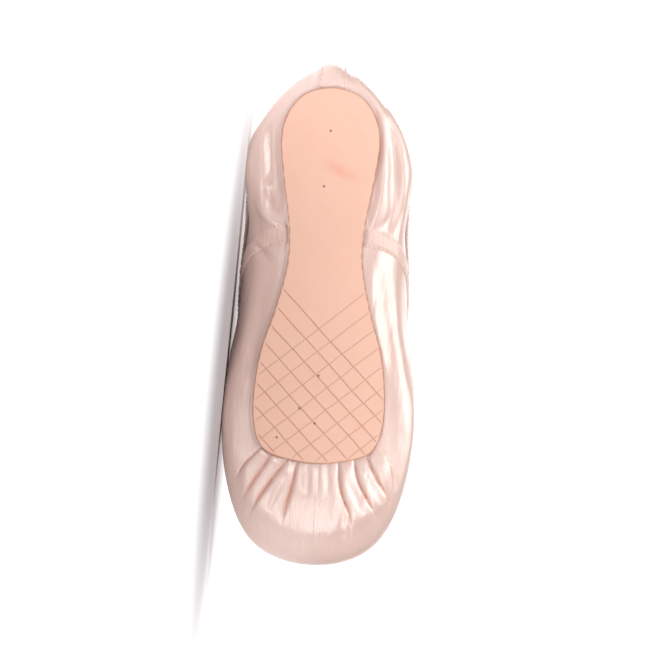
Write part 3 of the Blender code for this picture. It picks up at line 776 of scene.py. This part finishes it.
class Net:
    """The nodes of one material. Each helper gives back the socket that it makes, and takes a socket to
    link or a number or colour to set."""

    def __init__(self, name):
        self.material = bpy.data.materials.new(name)
        self.material.use_nodes = True
        self.tree = self.material.node_tree

    def feed(self, socket, value):
        if isinstance(value, bpy.types.NodeSocket):
            self.tree.links.new(value, socket)
        else:
            socket.default_value = value

    def node(self, kind, **settings):
        made = self.tree.nodes.new(kind)
        for name, value in settings.items():
            if name in made.inputs.keys():
                self.feed(made.inputs[name], value)
            else:
                setattr(made, name, value)
        return made

    def surface(self, **values):
        """Sets the shader's own sockets, with _ for the spaces in their names."""
        shader = self.tree.nodes["Principled BSDF"]
        for name, value in values.items():
            self.feed(shader.inputs[name.replace("_", " ")], value)
        return self.material

    def place(self):
        return self.node("ShaderNodeTexCoord").outputs["Object"]

    def uv(self, name):
        return self.node("ShaderNodeUVMap", uv_map=name).outputs["UV"]

    def kept(self, name):
        return self.node("ShaderNodeAttribute", attribute_name=name).outputs["Fac"]

    def mapped(self, vector, kind="POINT", **values):
        return self.node("ShaderNodeMapping", vector_type=kind, Vector=vector, **values).outputs["Vector"]

    def noise(self, vector, scale, detail=2.0, roughness=0.5):
        return self.node("ShaderNodeTexNoise", Vector=vector, Scale=scale, Detail=detail,
                         Roughness=roughness).outputs["Fac"]

    def bands(self, vector, way, scale, distortion, detail=2.0):
        return self.node("ShaderNodeTexWave", wave_type="BANDS", bands_direction=way, Vector=vector,
                         Scale=scale, Distortion=distortion, Detail=detail).outputs["Fac"]

    def ramp(self, value, start=0.0, end=1.0, low=0.0, high=1.0, kind="SMOOTHSTEP"):
        ends = {"From Min": start, "From Max": end, "To Min": low, "To Max": high}
        return self.node("ShaderNodeMapRange", interpolation_type=kind, Value=value, **ends).outputs["Result"]

    def length(self, vector):
        made = self.node("ShaderNodeVectorMath", operation="LENGTH")
        self.feed(made.inputs[0], vector)
        return made.outputs["Value"]

    def math(self, operation, *values):
        made = self.node("ShaderNodeMath", operation=operation)
        for socket, value in zip(made.inputs, values):
            self.feed(socket, value)
        return made.outputs[0]

    def mix(self, share, a, b):
        made = self.node("ShaderNodeMix", data_type="RGBA", Factor=share)
        self.feed(made.inputs[6], a)
        self.feed(made.inputs[7], b)
        return made.outputs[2]

    def bump(self, height, strength, distance, under=None, invert=False):
        made = self.node("ShaderNodeBump", invert=invert, Height=height, Strength=strength, Distance=distance)
        if under is not None:
            self.feed(made.inputs["Normal"], under)
        return made.outputs["Normal"]


def rgba(colour, scale=1.0):
    return tuple(min(1.0, c * scale) for c in colour) + (1.0,)


def satin_material(name, crease=True, rough=0.33):
    """Smooth satin: long floats along the cloth, a soft sheen and a painted warm glow and shade deep in the
    creases.
    """
    look = looks()
    net = Net(name)
    place = net.place()
    own = net.uv("cloth")
    base = net.mix(net.noise(place, 26.0, 3.0), rgba(look.satin, 0.97), rgba(look.satin, 1.03))
    # Painted warm glow and shade deep in the creases, from the crease number on each vertex
    if crease:
        base = net.mix(net.kept("crease"), base, rgba(look.crease))
    floats = net.noise(net.mapped(own, Scale=(2300.0, 700.0, 1.0)), 1.0)
    soft = net.noise(net.mapped(place, Scale=(38.0, 120.0, 120.0)), 1.0, 3.0)
    twill = net.bands(net.mapped(own, Rotation=(0, 0, math.radians(38))), "X", 350.0, 1.5, 1.0)
    weave = net.math("MULTIPLY_ADD", twill, 0.45, floats)
    threads = net.node("ShaderNodeTangent", direction_type="UV_MAP", uv_map="cloth").outputs["Tangent"]
    return net.surface(
        Base_Color=base, Normal=net.bump(weave, 0.60, 0.00013, net.bump(soft, 0.40, 0.0022)),
        Roughness=net.ramp(floats, low=rough - 0.05, high=rough + 0.07, kind="LINEAR"),
        Tangent=threads, Anisotropic=0.5, IOR=1.8, Specular_IOR_Level=1.0,
        Specular_Tint=(1.0, 0.98, 0.97, 1.0), Sheen_Weight=0.25, Sheen_Roughness=0.35,
        Sheen_Tint=(1.0, 0.93, 0.90, 1.0))


def tape_material(name):
    """Woven tape with a fine diagonal rib."""
    look = looks()
    net = Net(name)
    turned = net.mapped(net.uv("cloth"), Rotation=(0, 0, math.radians(45)))
    knots = net.math("MULTIPLY", *(net.bands(turned, way, 330.0, 1.0, 1.0) for way in "XY"))
    return net.surface(
        Base_Color=net.mix(knots, rgba(look.satin, 0.97), rgba(look.satin, 1.10)),
        Normal=net.bump(knots, 0.45, 0.00015), Roughness=0.42, Specular_IOR_Level=0.9, Sheen_Weight=0.3)


def thread_material():
    """Twisted sewing thread."""
    look = looks()
    net = Net("sewing thread")
    twist = net.noise(net.place(), 2600.0)
    return net.surface(
        Base_Color=net.mix(twist, rgba(look.thread, 0.85), rgba(look.thread, 1.1)),
        Normal=net.bump(twist, 0.5, 0.0001), Roughness=0.5)


def leather_material():
    """Peach buffed leather with a darker cut edge and border, partly painted shade, scored lines on the
    forefoot and a few tack holes, darkened with painted shade.
    """
    look = looks()
    size = sizes()
    net = Net("sole leather")
    place = net.place()
    plan = net.uv("plan")
    split = net.node("ShaderNodeSeparateXYZ", Vector=plan)
    px, py = split.outputs["X"], split.outputs["Y"]
    edge = net.kept("from_edge")
    red, green, blue = look.leather
    cloud = net.noise(place, 34.0, 4.0, 0.6)
    blotch = net.noise(place, 110.0, 5.0, 0.65)
    base = net.mix(cloud, rgba(look.leather, 0.965), rgba(look.leather, 1.03))
    warm = net.ramp(blotch, 0.50, 0.80, high=0.60, kind="LINEAR")
    base = net.mix(warm, base, (min(1, red * 1.02), green * 0.90, blue * 0.84, 1.0))

    # A red smear over the heel seat
    smear = net.mapped(
        plan, "TEXTURE", Location=(0.2150 * size.length, -0.060 * size.ball_width, 0),
        Rotation=(0, 0, math.radians(-66)), Scale=(0.0155, 0.0042, 1))
    smear = net.ramp(net.length(smear), 1.0, 0.0)
    base = net.mix(net.math("MULTIPLY", smear, blotch), base, (0.80, 0.36, 0.27, 1.0))

    # Scored lines in two families, kept inside the sole's edge, their cuts darkened with painted shade
    drift = net.math("MULTIPLY_ADD", net.noise(plan, 60.0, 1.0), 0.0009, -0.00045)
    grooves = []
    for angle, first, spacing, count, strength in SCORES:
        lean = math.radians(angle)
        pitch = spacing * size.score_pitch
        off = net.math("MULTIPLY_ADD", py, math.sin(lean), net.math("MULTIPLY", px, math.cos(lean)))
        off = net.math("SUBTRACT", net.math("ADD", off, drift), first * size.length)
        part = net.math("FRACT", net.math("ADD", net.math("DIVIDE", off, pitch), 0.5))
        away = net.math("MULTIPLY", net.math("ABSOLUTE", net.math("SUBTRACT", part, 0.5)), pitch)
        begun = net.math("GREATER_THAN", off, -0.4 * pitch)
        done = net.math("LESS_THAN", off, (count - 0.6) * pitch)
        cut = net.ramp(away, 0.00036, 0.00008, high=strength)
        grooves.append(net.math("MULTIPLY", cut, net.math("MULTIPLY", begun, done)))
    groove = net.math("MULTIPLY", net.math("MAXIMUM", *grooves), net.ramp(edge, 0.0009, 0.0016))
    holes = None
    for x, y in TACKS:
        gap_x = net.math("SUBTRACT", px, x * size.length)
        gap_y = net.math("SUBTRACT", py, y * size.ball_width)
        far = net.math("MULTIPLY_ADD", gap_x, gap_x, net.math("MULTIPLY", gap_y, gap_y))
        hole = net.ramp(net.math("SQRT", far), 0.00075, 0.00025)
        holes = hole if holes is None else net.math("MAXIMUM", holes, hole)
    # Painted shade darkens the scored cuts and the tack holes
    base = net.mix(net.math("MULTIPLY", groove, 0.66), base, (red * 0.70, green * 0.50, blue * 0.42, 1.0))
    base = net.mix(net.math("MULTIPLY", holes, 0.85), base, (0.16, 0.07, 0.05, 1.0))

    # Darker border and cut edge: partly the burnished leather, partly painted shade where the sole's edge
    # stands over the satin
    base = net.mix(net.ramp(edge, 0.0009, 0.0002, high=0.85), base, rgba(look.leather_edge, 1.3))
    base = net.mix(net.kept("rim"), base, rgba(look.leather_edge))
    grain = net.node("ShaderNodeTexVoronoi", feature="SMOOTH_F1", Vector=place, Scale=1500.0)
    skin = net.math("MULTIPLY_ADD", grain.outputs["Distance"], 0.6, net.noise(place, 2400.0, 3.0))
    fine = net.bump(skin, 0.22, 0.00012, net.bump(cloud, 0.25, 0.0010))
    return net.surface(
        Base_Color=base, Normal=net.bump(net.math("ADD", groove, holes), 0.8, 0.00035, fine, invert=True),
        Roughness=net.ramp(cloud, low=0.50, high=0.68, kind="LINEAR"), Specular_IOR_Level=0.35)


def cloth_material(name, tone, scale, depth):
    """Plain cotton cloth, for the sock and the lining."""
    look = looks()
    net = Net(name)
    place = net.place()
    weave = net.math("MULTIPLY", *(net.bands(place, way, scale, 0.8) for way in "XZ"))
    soil = net.math("MULTIPLY", net.noise(place, 40.0, 4.0), 0.25)
    base = net.mix(weave, rgba(look.cloth, 0.90 * tone), rgba(look.cloth, 1.06 * tone))
    return net.surface(
        Base_Color=net.mix(soil, base, rgba(look.cloth, 0.8 * tone)),
        Normal=net.bump(weave, 0.5, depth), Roughness=0.9)


def uneven(count, low, high, spans):
    """Shares from low to high, closer together where the spans ask for it. A span is a middle, a half
    width and how many times closer."""
    fine = np.linspace(low, high, 4001)
    density = np.ones_like(fine)
    for middle, half, times in spans:
        density += (times - 1) * np.exp(-((fine - middle) / half) ** 4)
    total = np.concatenate([[0], np.cumsum((density[1:] + density[:-1]) / 2)])
    return np.interp(np.linspace(0, total[-1], count + 1), total, fine)


def arc_of_columns(last, u, v):
    """Metres round the shoe and metres up the wall, for the cloth's UV map."""
    return u * last.widest.total, np.where(v < 2, (v - 2) * 0.030, (v - 2) * 0.040)


class POINTE_OT_satin_upper(bpy.types.Operator):
    """Lays the satin over the last, gathers its pleats under the toe and lets the quarters hang slack"""

    bl_idname = "pointe.satin_upper"
    bl_label = "Satin upper"

    def execute(self, context):
        size = sizes()
        last = Last(size)
        across, up = 420, 104
        piece, s, t = add_grid("satin_upper", across, up)
        columns = uneven(across, 0.0, 2.0, ((1.0, 0.235, 3.4),))
        columns = np.where(columns > 1, columns - 2, columns)
        columns[-1] = -1e-9
        rows = np.concatenate([
            np.linspace(0, 1, 3)[:-1], np.linspace(1, 2, 57)[:-1], np.linspace(2, 3, up - 57)])
        i = np.rint(s * across).astype(int)
        j = np.rint(t * up).astype(int)
        u = columns[i]
        v = rows[np.clip(j, 0, len(rows) - 1)]
        points, _, crease = Relief(last).raised(u, v)
        lay(piece, last.to_frame(points))
        # Keeps the strength of the painted crease glow and shade on each vertex
        paint(piece, "crease", crease)
        wide, tall = arc_of_columns(last, u, v)
        unwrap(piece, "cloth", wide, tall)
        edit(piece, bpy.ops.mesh.remove_doubles, threshold=2e-6)
        spot = last.to_frame(last.surface(0.5, 2.3))
        face_out(piece, spot, last.direction(last.outward(0.5, 2.3)))
        wear(piece, satin_material("satin"), cloth_material("lining cotton", 1.12, 1100.0, 0.0002))
        thicken(piece, size.wall, lined=True)
        smooth(piece, 60)
        finish_piece(piece, None, "satin", "upper")
        return {"FINISHED"}


class POINTE_OT_leather_sole(bpy.types.Operator):
    """Cuts the leather sole to its outline, with a rounded edge"""

    bl_idname = "pointe.leather_sole"
    bl_label = "Leather sole"

    def execute(self, context):
        size = sizes()
        last = Last(size)
        along, across = 150, 44
        piece, s, t = add_grid("leather_sole", along, across)
        share = 0.0006 + (1 - 0.0012) * s
        share = share - 0.10 * np.sin(2 * math.pi * share) / (2 * math.pi)
        edge = last.sole.at(share)
        side = 2 * t - 1
        side = np.sign(side) * (1 - (1 - np.abs(side)) ** 1.25)
        x = edge[:, 0]
        y = side * edge[:, 1]
        local = np.column_stack([x, y, last.arch(x)])
        lay(piece, last.to_frame(local))
        unwrap(piece, "plan", x, y)
        out = -Relief(last).beyond_sole(x, y)
        paint(piece, "from_edge", np.maximum(out, 0))
        paint(piece, "rim", np.zeros(len(x)))
        face_out(piece, last.to_frame(local[len(local) // 2]), last.direction(np.array([0, 0, -1.0])))
        # The wall grows up from the underside, and its rim takes the colour of the cut edge, partly painted
        # shade
        thicken(piece, size.sole_thickness)
        height = (vertices_of(piece) - last.shift) @ last.turn
        above = height[:, 2] - last.arch(height[:, 0])
        piece.data.attributes["rim"].data.foreach_set(
            "value", (above > 0.5 * size.sole_thickness).astype(np.float32))
        apply_modifier(piece, "BEVEL", width=0.0005, segments=3, limit_method="ANGLE",
                       angle_limit=math.radians(50))
        smooth(piece, 50)
        finish_piece(piece, leather_material(), "sole_leather", "outsole")
        return {"FINISHED"}


class POINTE_OT_insole_sock(bpy.types.Operator):
    """Covers the insole board with its cloth sock"""

    bl_idname = "pointe.insole_sock"
    bl_label = "Insole sock"

    def execute(self, context):
        wear(bpy.data.objects["insole"], cloth_material("sock cloth", 1.0, 800.0, 0.00025))
        return {"FINISHED"}


class POINTE_OT_collar_casing(bpy.types.Operator):
    """Folds the drawstring casing over the collar, lightly puckered, with its outlet at the throat"""

    bl_idname = "pointe.collar_casing"
    bl_label = "Collar casing"

    def execute(self, context):
        size = sizes()
        last = Last(size)
        rounds, ring = 640, 28
        clear_selection()
        bpy.ops.mesh.primitive_torus_add(major_segments=rounds, minor_segments=ring, major_radius=1,
                                         minor_radius=0.25)
        piece = bpy.context.object
        piece.name = piece.data.name = "collar_casing"
        flat = vertices_of(piece)
        turn = np.mod(np.arctan2(flat[:, 1], flat[:, 0]), 2 * math.pi)
        i = np.rint(turn / (2 * math.pi) * rounds).astype(int) % rounds
        radius = np.hypot(flat[:, 0], flat[:, 1]) - 1
        around = np.mod(np.arctan2(flat[:, 2], radius), 2 * math.pi)
        k = np.rint(around / (2 * math.pi) * ring).astype(int) % ring
        columns = 2.0 * np.arange(rounds) / rounds
        columns = np.where(columns > 1, columns - 2, columns)
        section = self.sections(last, columns, ring)
        lay(piece, last.to_frame(section[i, k]))
        wide, _ = arc_of_columns(last, columns, columns)
        unwrap(piece, "cloth", wide[i], k * 0.0008)
        face_out(piece, last.to_frame(section[100, 3]), last.direction(last.outward(columns[100], 2.9)))
        piece = self.cut_outlet(piece, last)
        smooth(piece, 50)
        finish_piece(piece, satin_material("casing satin", crease=False, rough=0.42), "satin_tape",
                     "collar_binding")
        return {"FINISHED"}

    def sections(self, last, u, ring):
        """One closed section a column: up the outer leaf, over the edge, down the inner leaf and back."""
        size = last.size
        depth = last.below_collar(u, size.casing_depth)
        deep = last.surface(u, depth)
        top = last.surface(u, np.full_like(u, 3.0))
        face_low = last.outward(u, depth)
        face_top = last.outward(u, np.full_like(u, 3.0))
        lift = top - last.surface(u, np.full_like(u, 2.97))
        lift /= np.linalg.norm(lift, axis=1, keepdims=True)
        arc = np.arange(len(u)) / len(u)
        pucker = 0.00016 * np.sin(2 * math.pi * 131 * arc) + 0.00010 * np.sin(2 * math.pi * 83 * arc + 1.3)
        thick = size.gap + size.tape
        inside = size.wall + size.gap + size.tape
        outline = (
            (0.00, thick * 0.55), (0.00, thick * 0.95), (0.10, thick), (0.30, thick * 1.15),
            (0.55, thick * 1.2), (0.80, thick * 1.1), (0.95, thick * 0.85),
        )
        rings = []

        def between(share):
            return deep * (1 - share) + top * share, face_low * (1 - share) + face_top * share

        for share, off in outline:
            base, face = between(share)
            swell = math.sin(math.pi * min(1, share + 0.1))
            rings.append(base + face * (off + pucker * swell)[:, None])
        for angle in (20, 50, 80, 110, 140, 165):
            a = math.radians(angle)
            half = (thick * 0.75 + inside * 0.9) / 2
            middle = (thick * 0.75 - inside * 0.9) / 2
            rings.append(top + face_top * (middle + half * math.cos(a) + pucker * 0.6)[:, None]
                         + lift * ((size.gap + size.tape) * math.sin(a)))
        for share, off in reversed(outline):
            base, face = between(share)
            rings.append(base - face * (size.wall + off + pucker * 0.5)[:, None])
        near = size.gap * 0.6
        far = -size.wall - near
        inner = ((0.02, far), (0.5, far), (0.93, far), (1.0, -size.wall / 2),
                 (0.97, near), (0.75, near), (0.5, near), (0.02, near))
        for share, off in inner:
            base, face = between(share)
            rise = size.gap * 0.5 if share > 0.99 else 0
            rings.append(base + face * off + lift * rise)
        if len(rings) != ring:
            raise RuntimeError("the casing's section has %d points, not %d" % (len(rings), ring))
        return np.stack(rings, axis=1)

    def cut_outlet(self, piece, last):
        """A sewn hole at the throat that the drawstring would leave by."""
        size = last.size
        v = (last.below_collar(1.0, size.casing_depth)[0] + 3) / 2
        spot = last.to_frame(last.surface(1.0, v))
        aim = Vector(last.direction(last.outward(1.0, 2.9)))
        clear_selection()
        bpy.ops.mesh.primitive_cylinder_add(vertices=24, radius=size.outlet / 2, depth=0.0018)
        cutter = bpy.context.object
        cutter.data.transform(Matrix.Translation(Vector(spot) + aim * 0.0012)
                              @ aim.to_track_quat("Z", "Y").to_matrix().to_4x4())
        apply_modifier(piece, "BOOLEAN", operation="DIFFERENCE", solver="EXACT", object=cutter)
        bpy.data.objects.remove(cutter, do_unlink=True)
        return piece


def strip(name, last, low, high, rows, across, thick, seat=0.8):
    """A tape on the wall between two lines of u, with rounded edges. It has a pair of u for each row, and
    sinks and puckers along its two rows of stitches."""
    count = len(rows) - 1
    piece, s, t = add_grid(name, across, count)
    j = np.rint(t * count).astype(int)
    u = low[j] + (high - low)[j] * s
    v = rows[j]
    side = 2 * s - 1
    along = run_along(last.surface(np.full_like(rows, (low[0] + high[0]) / 2), rows))[j]
    pulled = bell((np.abs(side) - seat) / 0.10)
    pucker = 0.5 + 0.5 * np.cos(2 * math.pi * along / last.size.stitch_length)
    off = last.size.gap * 0.2 + thick * (0.15 + 0.60 * (1 - side ** 6))
    off -= thick * 0.38 * pulled * (0.55 + 0.45 * pucker)
    off += thick * 0.10 * (1 - side ** 2) * pucker
    off *= 0.30 + 0.70 * smooth_step(0.0, 0.0016, along)
    points, normal, _ = Relief(last).raised(u, v, off)
    lay(piece, last.to_frame(points))
    unwrap(piece, "cloth", (u - low[j]) * last.widest.total, along)
    middle = len(u) // 2
    face_out(piece, last.to_frame(points[middle]), last.direction(normal[middle]))
    thicken(piece, thick * 0.9)
    smooth(piece, 50)
    return piece


def strip_rows(last, u, count):
    start = last.past_sole(u, last.size.gap * 0.7)[0]
    end = last.below_collar(u, last.size.casing_depth + last.size.gap)[0]
    return np.linspace(start, end, count + 1)


def stay_lines(last, rows, half_width):
    halves = []
    u = np.linspace(0, 0.12, 61)
    for v in rows:
        line = last.surface(u, np.full_like(u, v))
        run = run_along(line)
        halves.append(np.interp(half_width, run, u))
    return np.array(halves)


def seam_lines(last, rows, side, offset):
    """u of a line beside the middle of a side seam, at each row."""
    table = np.array(SEAM_LINE)
    middle_u = last.widest.share_of_x(SEAM_CROSSES * last.size.length)
    path = last.surface(np.full_like(rows, middle_u), rows)
    run = run_along(path)
    middle = spline(table[:, 0], table[:, 1], run / run[-1])[:, 0] * last.size.length
    found = []
    u = np.linspace(0.15, 0.75, 241)
    for x, v in zip(middle, rows):
        line = last.surface(u, np.full_like(u, v))
        found.append(side * np.interp(x + offset, line[:, 0], u))
    return np.array(found)


class POINTE_OT_heel_stay(bpy.types.Operator):
    """Covers the back seam with its satin stay"""

    bl_idname = "pointe.heel_stay"
    bl_label = "Heel stay"

    def execute(self, context):
        size = sizes()
        last = Last(size)
        rows = strip_rows(last, 0.0, 110)
        half = stay_lines(last, rows, size.stay_width / 2)
        piece = strip("heel_stay_satin", last, -half, half, rows, 28, size.tape)
        finish_piece(piece, satin_material("stay satin", crease=False, rough=0.40), "satin_tape", "heel_stay")
        return {"FINISHED"}


class POINTE_OT_side_seams(bpy.types.Operator):
    """Laps the vamp over the quarters with a ribbed tape on each side"""

    bl_idname = "pointe.side_seams"
    bl_label = "Side seams"

    def execute(self, context):
        size = sizes()
        last = Last(size)
        middle_u = last.widest.share_of_x(SEAM_CROSSES * size.length)
        material = tape_material("seam tape")
        seat = 1 - 2 * SEAM_ROW / size.seam_width
        for side, hand in ((1, "left"), (-1, "right")):
            rows = strip_rows(last, float(middle_u), 130)
            low = seam_lines(last, rows, side, -size.seam_width / 2)
            high = seam_lines(last, rows, side, size.seam_width / 2)
            piece = strip("seam_tape_" + hand, last, low, high, rows, 28, size.tape, seat)
            finish_piece(piece, material, "satin_tape", "side_seam_" + hand)
        return {"FINISHED"}


def sew(name, last, material, paths):
    """Stitches laid along paths. A path is a pair: points on the cloth and the way out from it."""
    clear_selection()
    bpy.ops.mesh.primitive_uv_sphere_add(segments=8, ring_count=5, radius=1)
    piece = bpy.context.object
    piece.name = piece.data.name = name
    seed_points = vertices_of(piece)
    pitch = last.size.stitch_length
    places = []
    for points, normals in paths:
        run = run_along(points)
        marks = np.arange(pitch / 2, run[-1] - pitch / 2, pitch)
        for mark in marks:
            ends = [np.array([np.interp(mark + d, run, points[:, k]) for k in range(3)])
                    for d in (-0.31 * pitch, 0.31 * pitch)]
            out = np.array([np.interp(mark, run, normals[:, k]) for k in range(3)])
            places.append((ends, out / np.linalg.norm(out)))
    for _ in range(math.ceil(math.log2(len(places)))):
        edit(piece, bpy.ops.mesh.duplicate)
    count = len(seed_points)
    bpy.ops.object.mode_set(mode="EDIT")
    mesh = bmesh.from_edit_mesh(piece.data)
    mesh.verts.ensure_lookup_table()
    spare = [v for v in mesh.verts if v.index >= count * len(places)]
    bmesh.ops.delete(mesh, geom=spare, context="VERTS")
    bmesh.update_edit_mesh(piece.data)
    bpy.ops.object.mode_set(mode="OBJECT")
    placed = []
    for (a, b), out in places:
        along = b - a
        long = np.linalg.norm(along)
        along = along / long
        across = np.cross(out, along)
        across /= np.linalg.norm(across)
        up = np.cross(along, across)
        local = seed_points * np.array([long / 2, HALF_THREAD, HALF_THREAD])
        placed.append((a + b) / 2 + local[:, :1] * along + local[:, 1:2] * across + local[:, 2:] * up)
    lay(piece, last.to_frame(np.vstack(placed)))
    smooth(piece, 80)
    finish_piece(piece, material, "satin_tape")


class POINTE_OT_stitching(bpy.types.Operator):
    """Sews the seams, the stay and the casing"""

    bl_idname = "pointe.stitching"
    bl_label = "Stitching"

    def execute(self, context):
        size = sizes()
        last = Last(size)
        relief = Relief(last)
        material = thread_material()
        over_tape = size.gap * 0.2 + size.tape * 0.50
        middle_u = float(last.widest.share_of_x(SEAM_CROSSES * size.length))
        rows = strip_rows(last, middle_u, 70)
        inset_by = size.seam_width / 2 - SEAM_ROW
        for side, name in ((1, "seam_stitches_left"), (-1, "seam_stitches_right")):
            paths = []
            for offset in (-inset_by, inset_by):
                u = seam_lines(last, rows, side, offset)
                paths.append(relief.raised(u, rows, over_tape)[:2])
            sew(name, last, material, paths)
        rows = strip_rows(last, 0.0, 60)
        half = stay_lines(last, rows, size.stay_width / 2 - STAY_ROW)
        paths = [relief.raised(side * half, rows, over_tape)[:2] for side in (1, -1)]
        sew("stay_stitches", last, material, paths)
        u = np.concatenate([np.linspace(0.0, 1, 300), np.linspace(-1, -1e-6, 300)])
        v = last.below_collar(u, size.casing_depth - CASING_ROW)
        base = last.surface(u, v)
        normal = last.outward(u, v)
        paths = [(base + normal * (size.gap + size.tape + 0.00012), normal)]
        sew("casing_stitches", last, material, paths)
        return {"FINISHED"}


# Camera: how far the shoe leans in the picture, in degrees, and the point it looks at, from the heel end
# of the last along its middle line and to the right in the picture
LEAN = 2.62
VIEW_CENTRE = 0.1250
VIEW_SHIFT = 0.0015

# Studio: light of the world on the shoe and as the camera sees it, and how far the sheet reaches each way,
# where it bends up behind the shoe, and the radius of that bend
WORLD_LIGHT = (0.13, 1.0)
SHEET_REACH, SHEET_BEND, SHEET_RADIUS = 4.0, 2.2, 0.8

# Area lights. Columns: name, place, what it points at, width, height, watts, colour
MIDDLE = (0.0, -0.01, 0.045)
HEEL = (-0.105, -0.01, 0.055)
LIGHTS = (
    ("over the camera", (-0.15, -0.95, 0.85), MIDDLE, 0.26, 0.26, 4.8, (1.0, 0.985, 0.985)),
    ("low beside the camera", (0.55, -1.15, 0.14), MIDDLE, 0.36, 0.22, 3.1, (1.0, 0.985, 0.985)),
    ("top strip", (-0.12, -0.30, 0.78), MIDDLE, 0.50, 0.14, 2.7, (1.0, 1.0, 1.0)),
    ("beside the heel", (-0.62, -0.55, 0.42), HEEL, 0.16, 0.16, 0.7, (1.0, 0.99, 0.99)),
    ("behind", (-0.45, 0.85, 0.42), MIDDLE, 0.50, 0.50, 8.0, (1.0, 0.995, 1.0)),
)


class POINTE_OT_stage(bpy.types.Operator):
    """Sets the pale floor and backdrop, glowing with a painted shadow by the shoe, the soft lights and the
    camera square on to the sole
    """

    bl_idname = "pointe.stage"
    bl_label = "Stage"

    def execute(self, context):
        last = Last(sizes())
        look = looks()
        scene = context.scene
        self.sweep()
        world = bpy.data.worlds.new("studio")
        world.use_nodes = True
        scene.world = world
        ground = world.node_tree.nodes["Background"]
        ground.inputs["Color"].default_value = (1.0, 0.985, 0.975, 1.0)
        ray = world.node_tree.nodes.new("ShaderNodeLightPath")
        level = world.node_tree.nodes.new("ShaderNodeMapRange")
        level.inputs["To Min"].default_value, level.inputs["To Max"].default_value = WORLD_LIGHT
        world.node_tree.links.new(ray.outputs["Is Camera Ray"], level.inputs["Value"])
        world.node_tree.links.new(level.outputs["Result"], ground.inputs["Strength"])
        for row in LIGHTS:
            self.light(*row)
        self.camera(last, look, scene)
        scene.view_settings.view_transform = "Standard"
        scene.view_settings.look = "None"
        scene.view_settings.exposure = 0.0
        return {"FINISHED"}

    def sweep(self):
        """One sheet that runs along the floor and up behind the shoe. It glows white away from the shoe
        though it is no lamp, and its dim grey near the shoe is a painted shadow.
        """
        bend, radius, top = SHEET_BEND, SHEET_RADIUS, SHEET_REACH
        turn = np.radians(np.linspace(7.5, 90, 12))
        y = np.concatenate([[-top, bend], bend + radius * np.sin(turn), [bend + radius]])
        z = np.concatenate([[0, 0], radius - radius * np.cos(turn), [top]])
        sheet, s, t = add_grid("paper_sweep", 1, len(y) - 1)
        row = np.rint(t * (len(y) - 1)).astype(int)
        lay(sheet, np.column_stack([(2 * s - 1) * top, y[row], z[row]]))
        smooth(sheet, 60)
        net = Net("paper sweep")
        # Distance from a spot before the shoe: the glow fades near it into a painted shadow on the floor
        painted_shadow_spread = net.mapped(net.place(), "TEXTURE", Location=(0.03, -0.06, 0.0), Scale=(0.60, 1.0, 1.0))
        net.surface(Base_Color=(0.52, 0.49, 0.50, 1.0), Roughness=0.9, Specular_IOR_Level=0.1,
                    Emission_Color=(1.0, 1.0, 1.0, 1.0),
                    Emission_Strength=net.ramp(net.length(painted_shadow_spread), 0.06, 0.34, high=0.95))
        wear(sheet, net.material)

    def light(self, name, place, target, wide, tall, power, colour):
        data = bpy.data.lights.new(name, "AREA")
        data.shape = "RECTANGLE"
        data.size = wide
        data.size_y = tall
        data.energy = power
        data.color = colour
        lamp = bpy.data.objects.new(name, data)
        lamp.location = place
        lamp.visible_camera = False
        lamp.rotation_euler = (Vector(target) - Vector(place)).to_track_quat("-Z", "Y").to_euler()
        bpy.context.scene.collection.objects.link(lamp)

    def camera(self, last, look, scene):
        """Square on to the sole, rolled so that the heel is up and leans as in the photograph."""
        ways = ((1.0, 0.0, 0.0), (0.0, 1.0, 0.0), (0.0, 0.0, -1.0))
        along, left, out = (Vector(last.direction(np.array(way))) for way in ways)
        lean = math.radians(LEAN)
        up = (left * math.sin(lean) - along * math.cos(lean)).normalized()
        right = up.cross(out).normalized()
        centre = Vector(last.to_frame(np.array([VIEW_CENTRE, 0.0, 0.0]))) + right * VIEW_SHIFT
        data = bpy.data.cameras.new("camera")
        data.sensor_width = 36
        data.lens = 36 * look.camera_distance / look.view_width
        data.dof.use_dof = False
        camera = bpy.data.objects.new("camera", data)
        turn = Matrix((right, up, out)).transposed().to_4x4()
        camera.matrix_world = Matrix.Translation(centre + out * look.camera_distance) @ turn
        scene.collection.objects.link(camera)
        scene.camera = camera


class POINTE_PT_panel(bpy.types.Panel):
    """Lists the pieces of the shoe in the sidebar"""

    bl_idname = "POINTE_PT_panel"
    bl_label = "Pointe shoe"
    bl_space_type = "VIEW_3D"
    bl_region_type = "UI"
    bl_category = "Pointe shoe"

    def draw(self, context):
        column = self.layout.column()
        for operator in OPERATORS:
            column.operator(operator.bl_idname)
        for name in PointeSizes.__annotations__:
            column.prop(context.scene.pointe_sizes, name)
        for name in PointeLooks.__annotations__:
            column.prop(context.scene.pointe_looks, name)


OPERATORS = (
    POINTE_OT_satin_upper,
    POINTE_OT_leather_sole,
    POINTE_OT_insole_sock,
    POINTE_OT_collar_casing,
    POINTE_OT_heel_stay,
    POINTE_OT_side_seams,
    POINTE_OT_stitching,
    POINTE_OT_stage,
)
CLASSES = (PointeSizes, PointeLooks) + OPERATORS + (POINTE_PT_panel,)


def register():
    for item in CLASSES:
        bpy.utils.register_class(item)
    bpy.types.Scene.pointe_sizes = bpy.props.PointerProperty(type=PointeSizes)
    bpy.types.Scene.pointe_looks = bpy.props.PointerProperty(type=PointeLooks)


def unregister():
    del bpy.types.Scene.pointe_looks
    del bpy.types.Scene.pointe_sizes
    for item in reversed(CLASSES):
        bpy.utils.unregister_class(item)


def main():
    register()
    bpy.ops.pointe.satin_upper()
    bpy.ops.pointe.leather_sole()
    bpy.ops.pointe.insole_sock()
    bpy.ops.pointe.collar_casing()
    bpy.ops.pointe.heel_stay()
    bpy.ops.pointe.side_seams()
    bpy.ops.pointe.stitching()
    bpy.ops.pointe.stage()


if __name__ == "__main__":
    main()
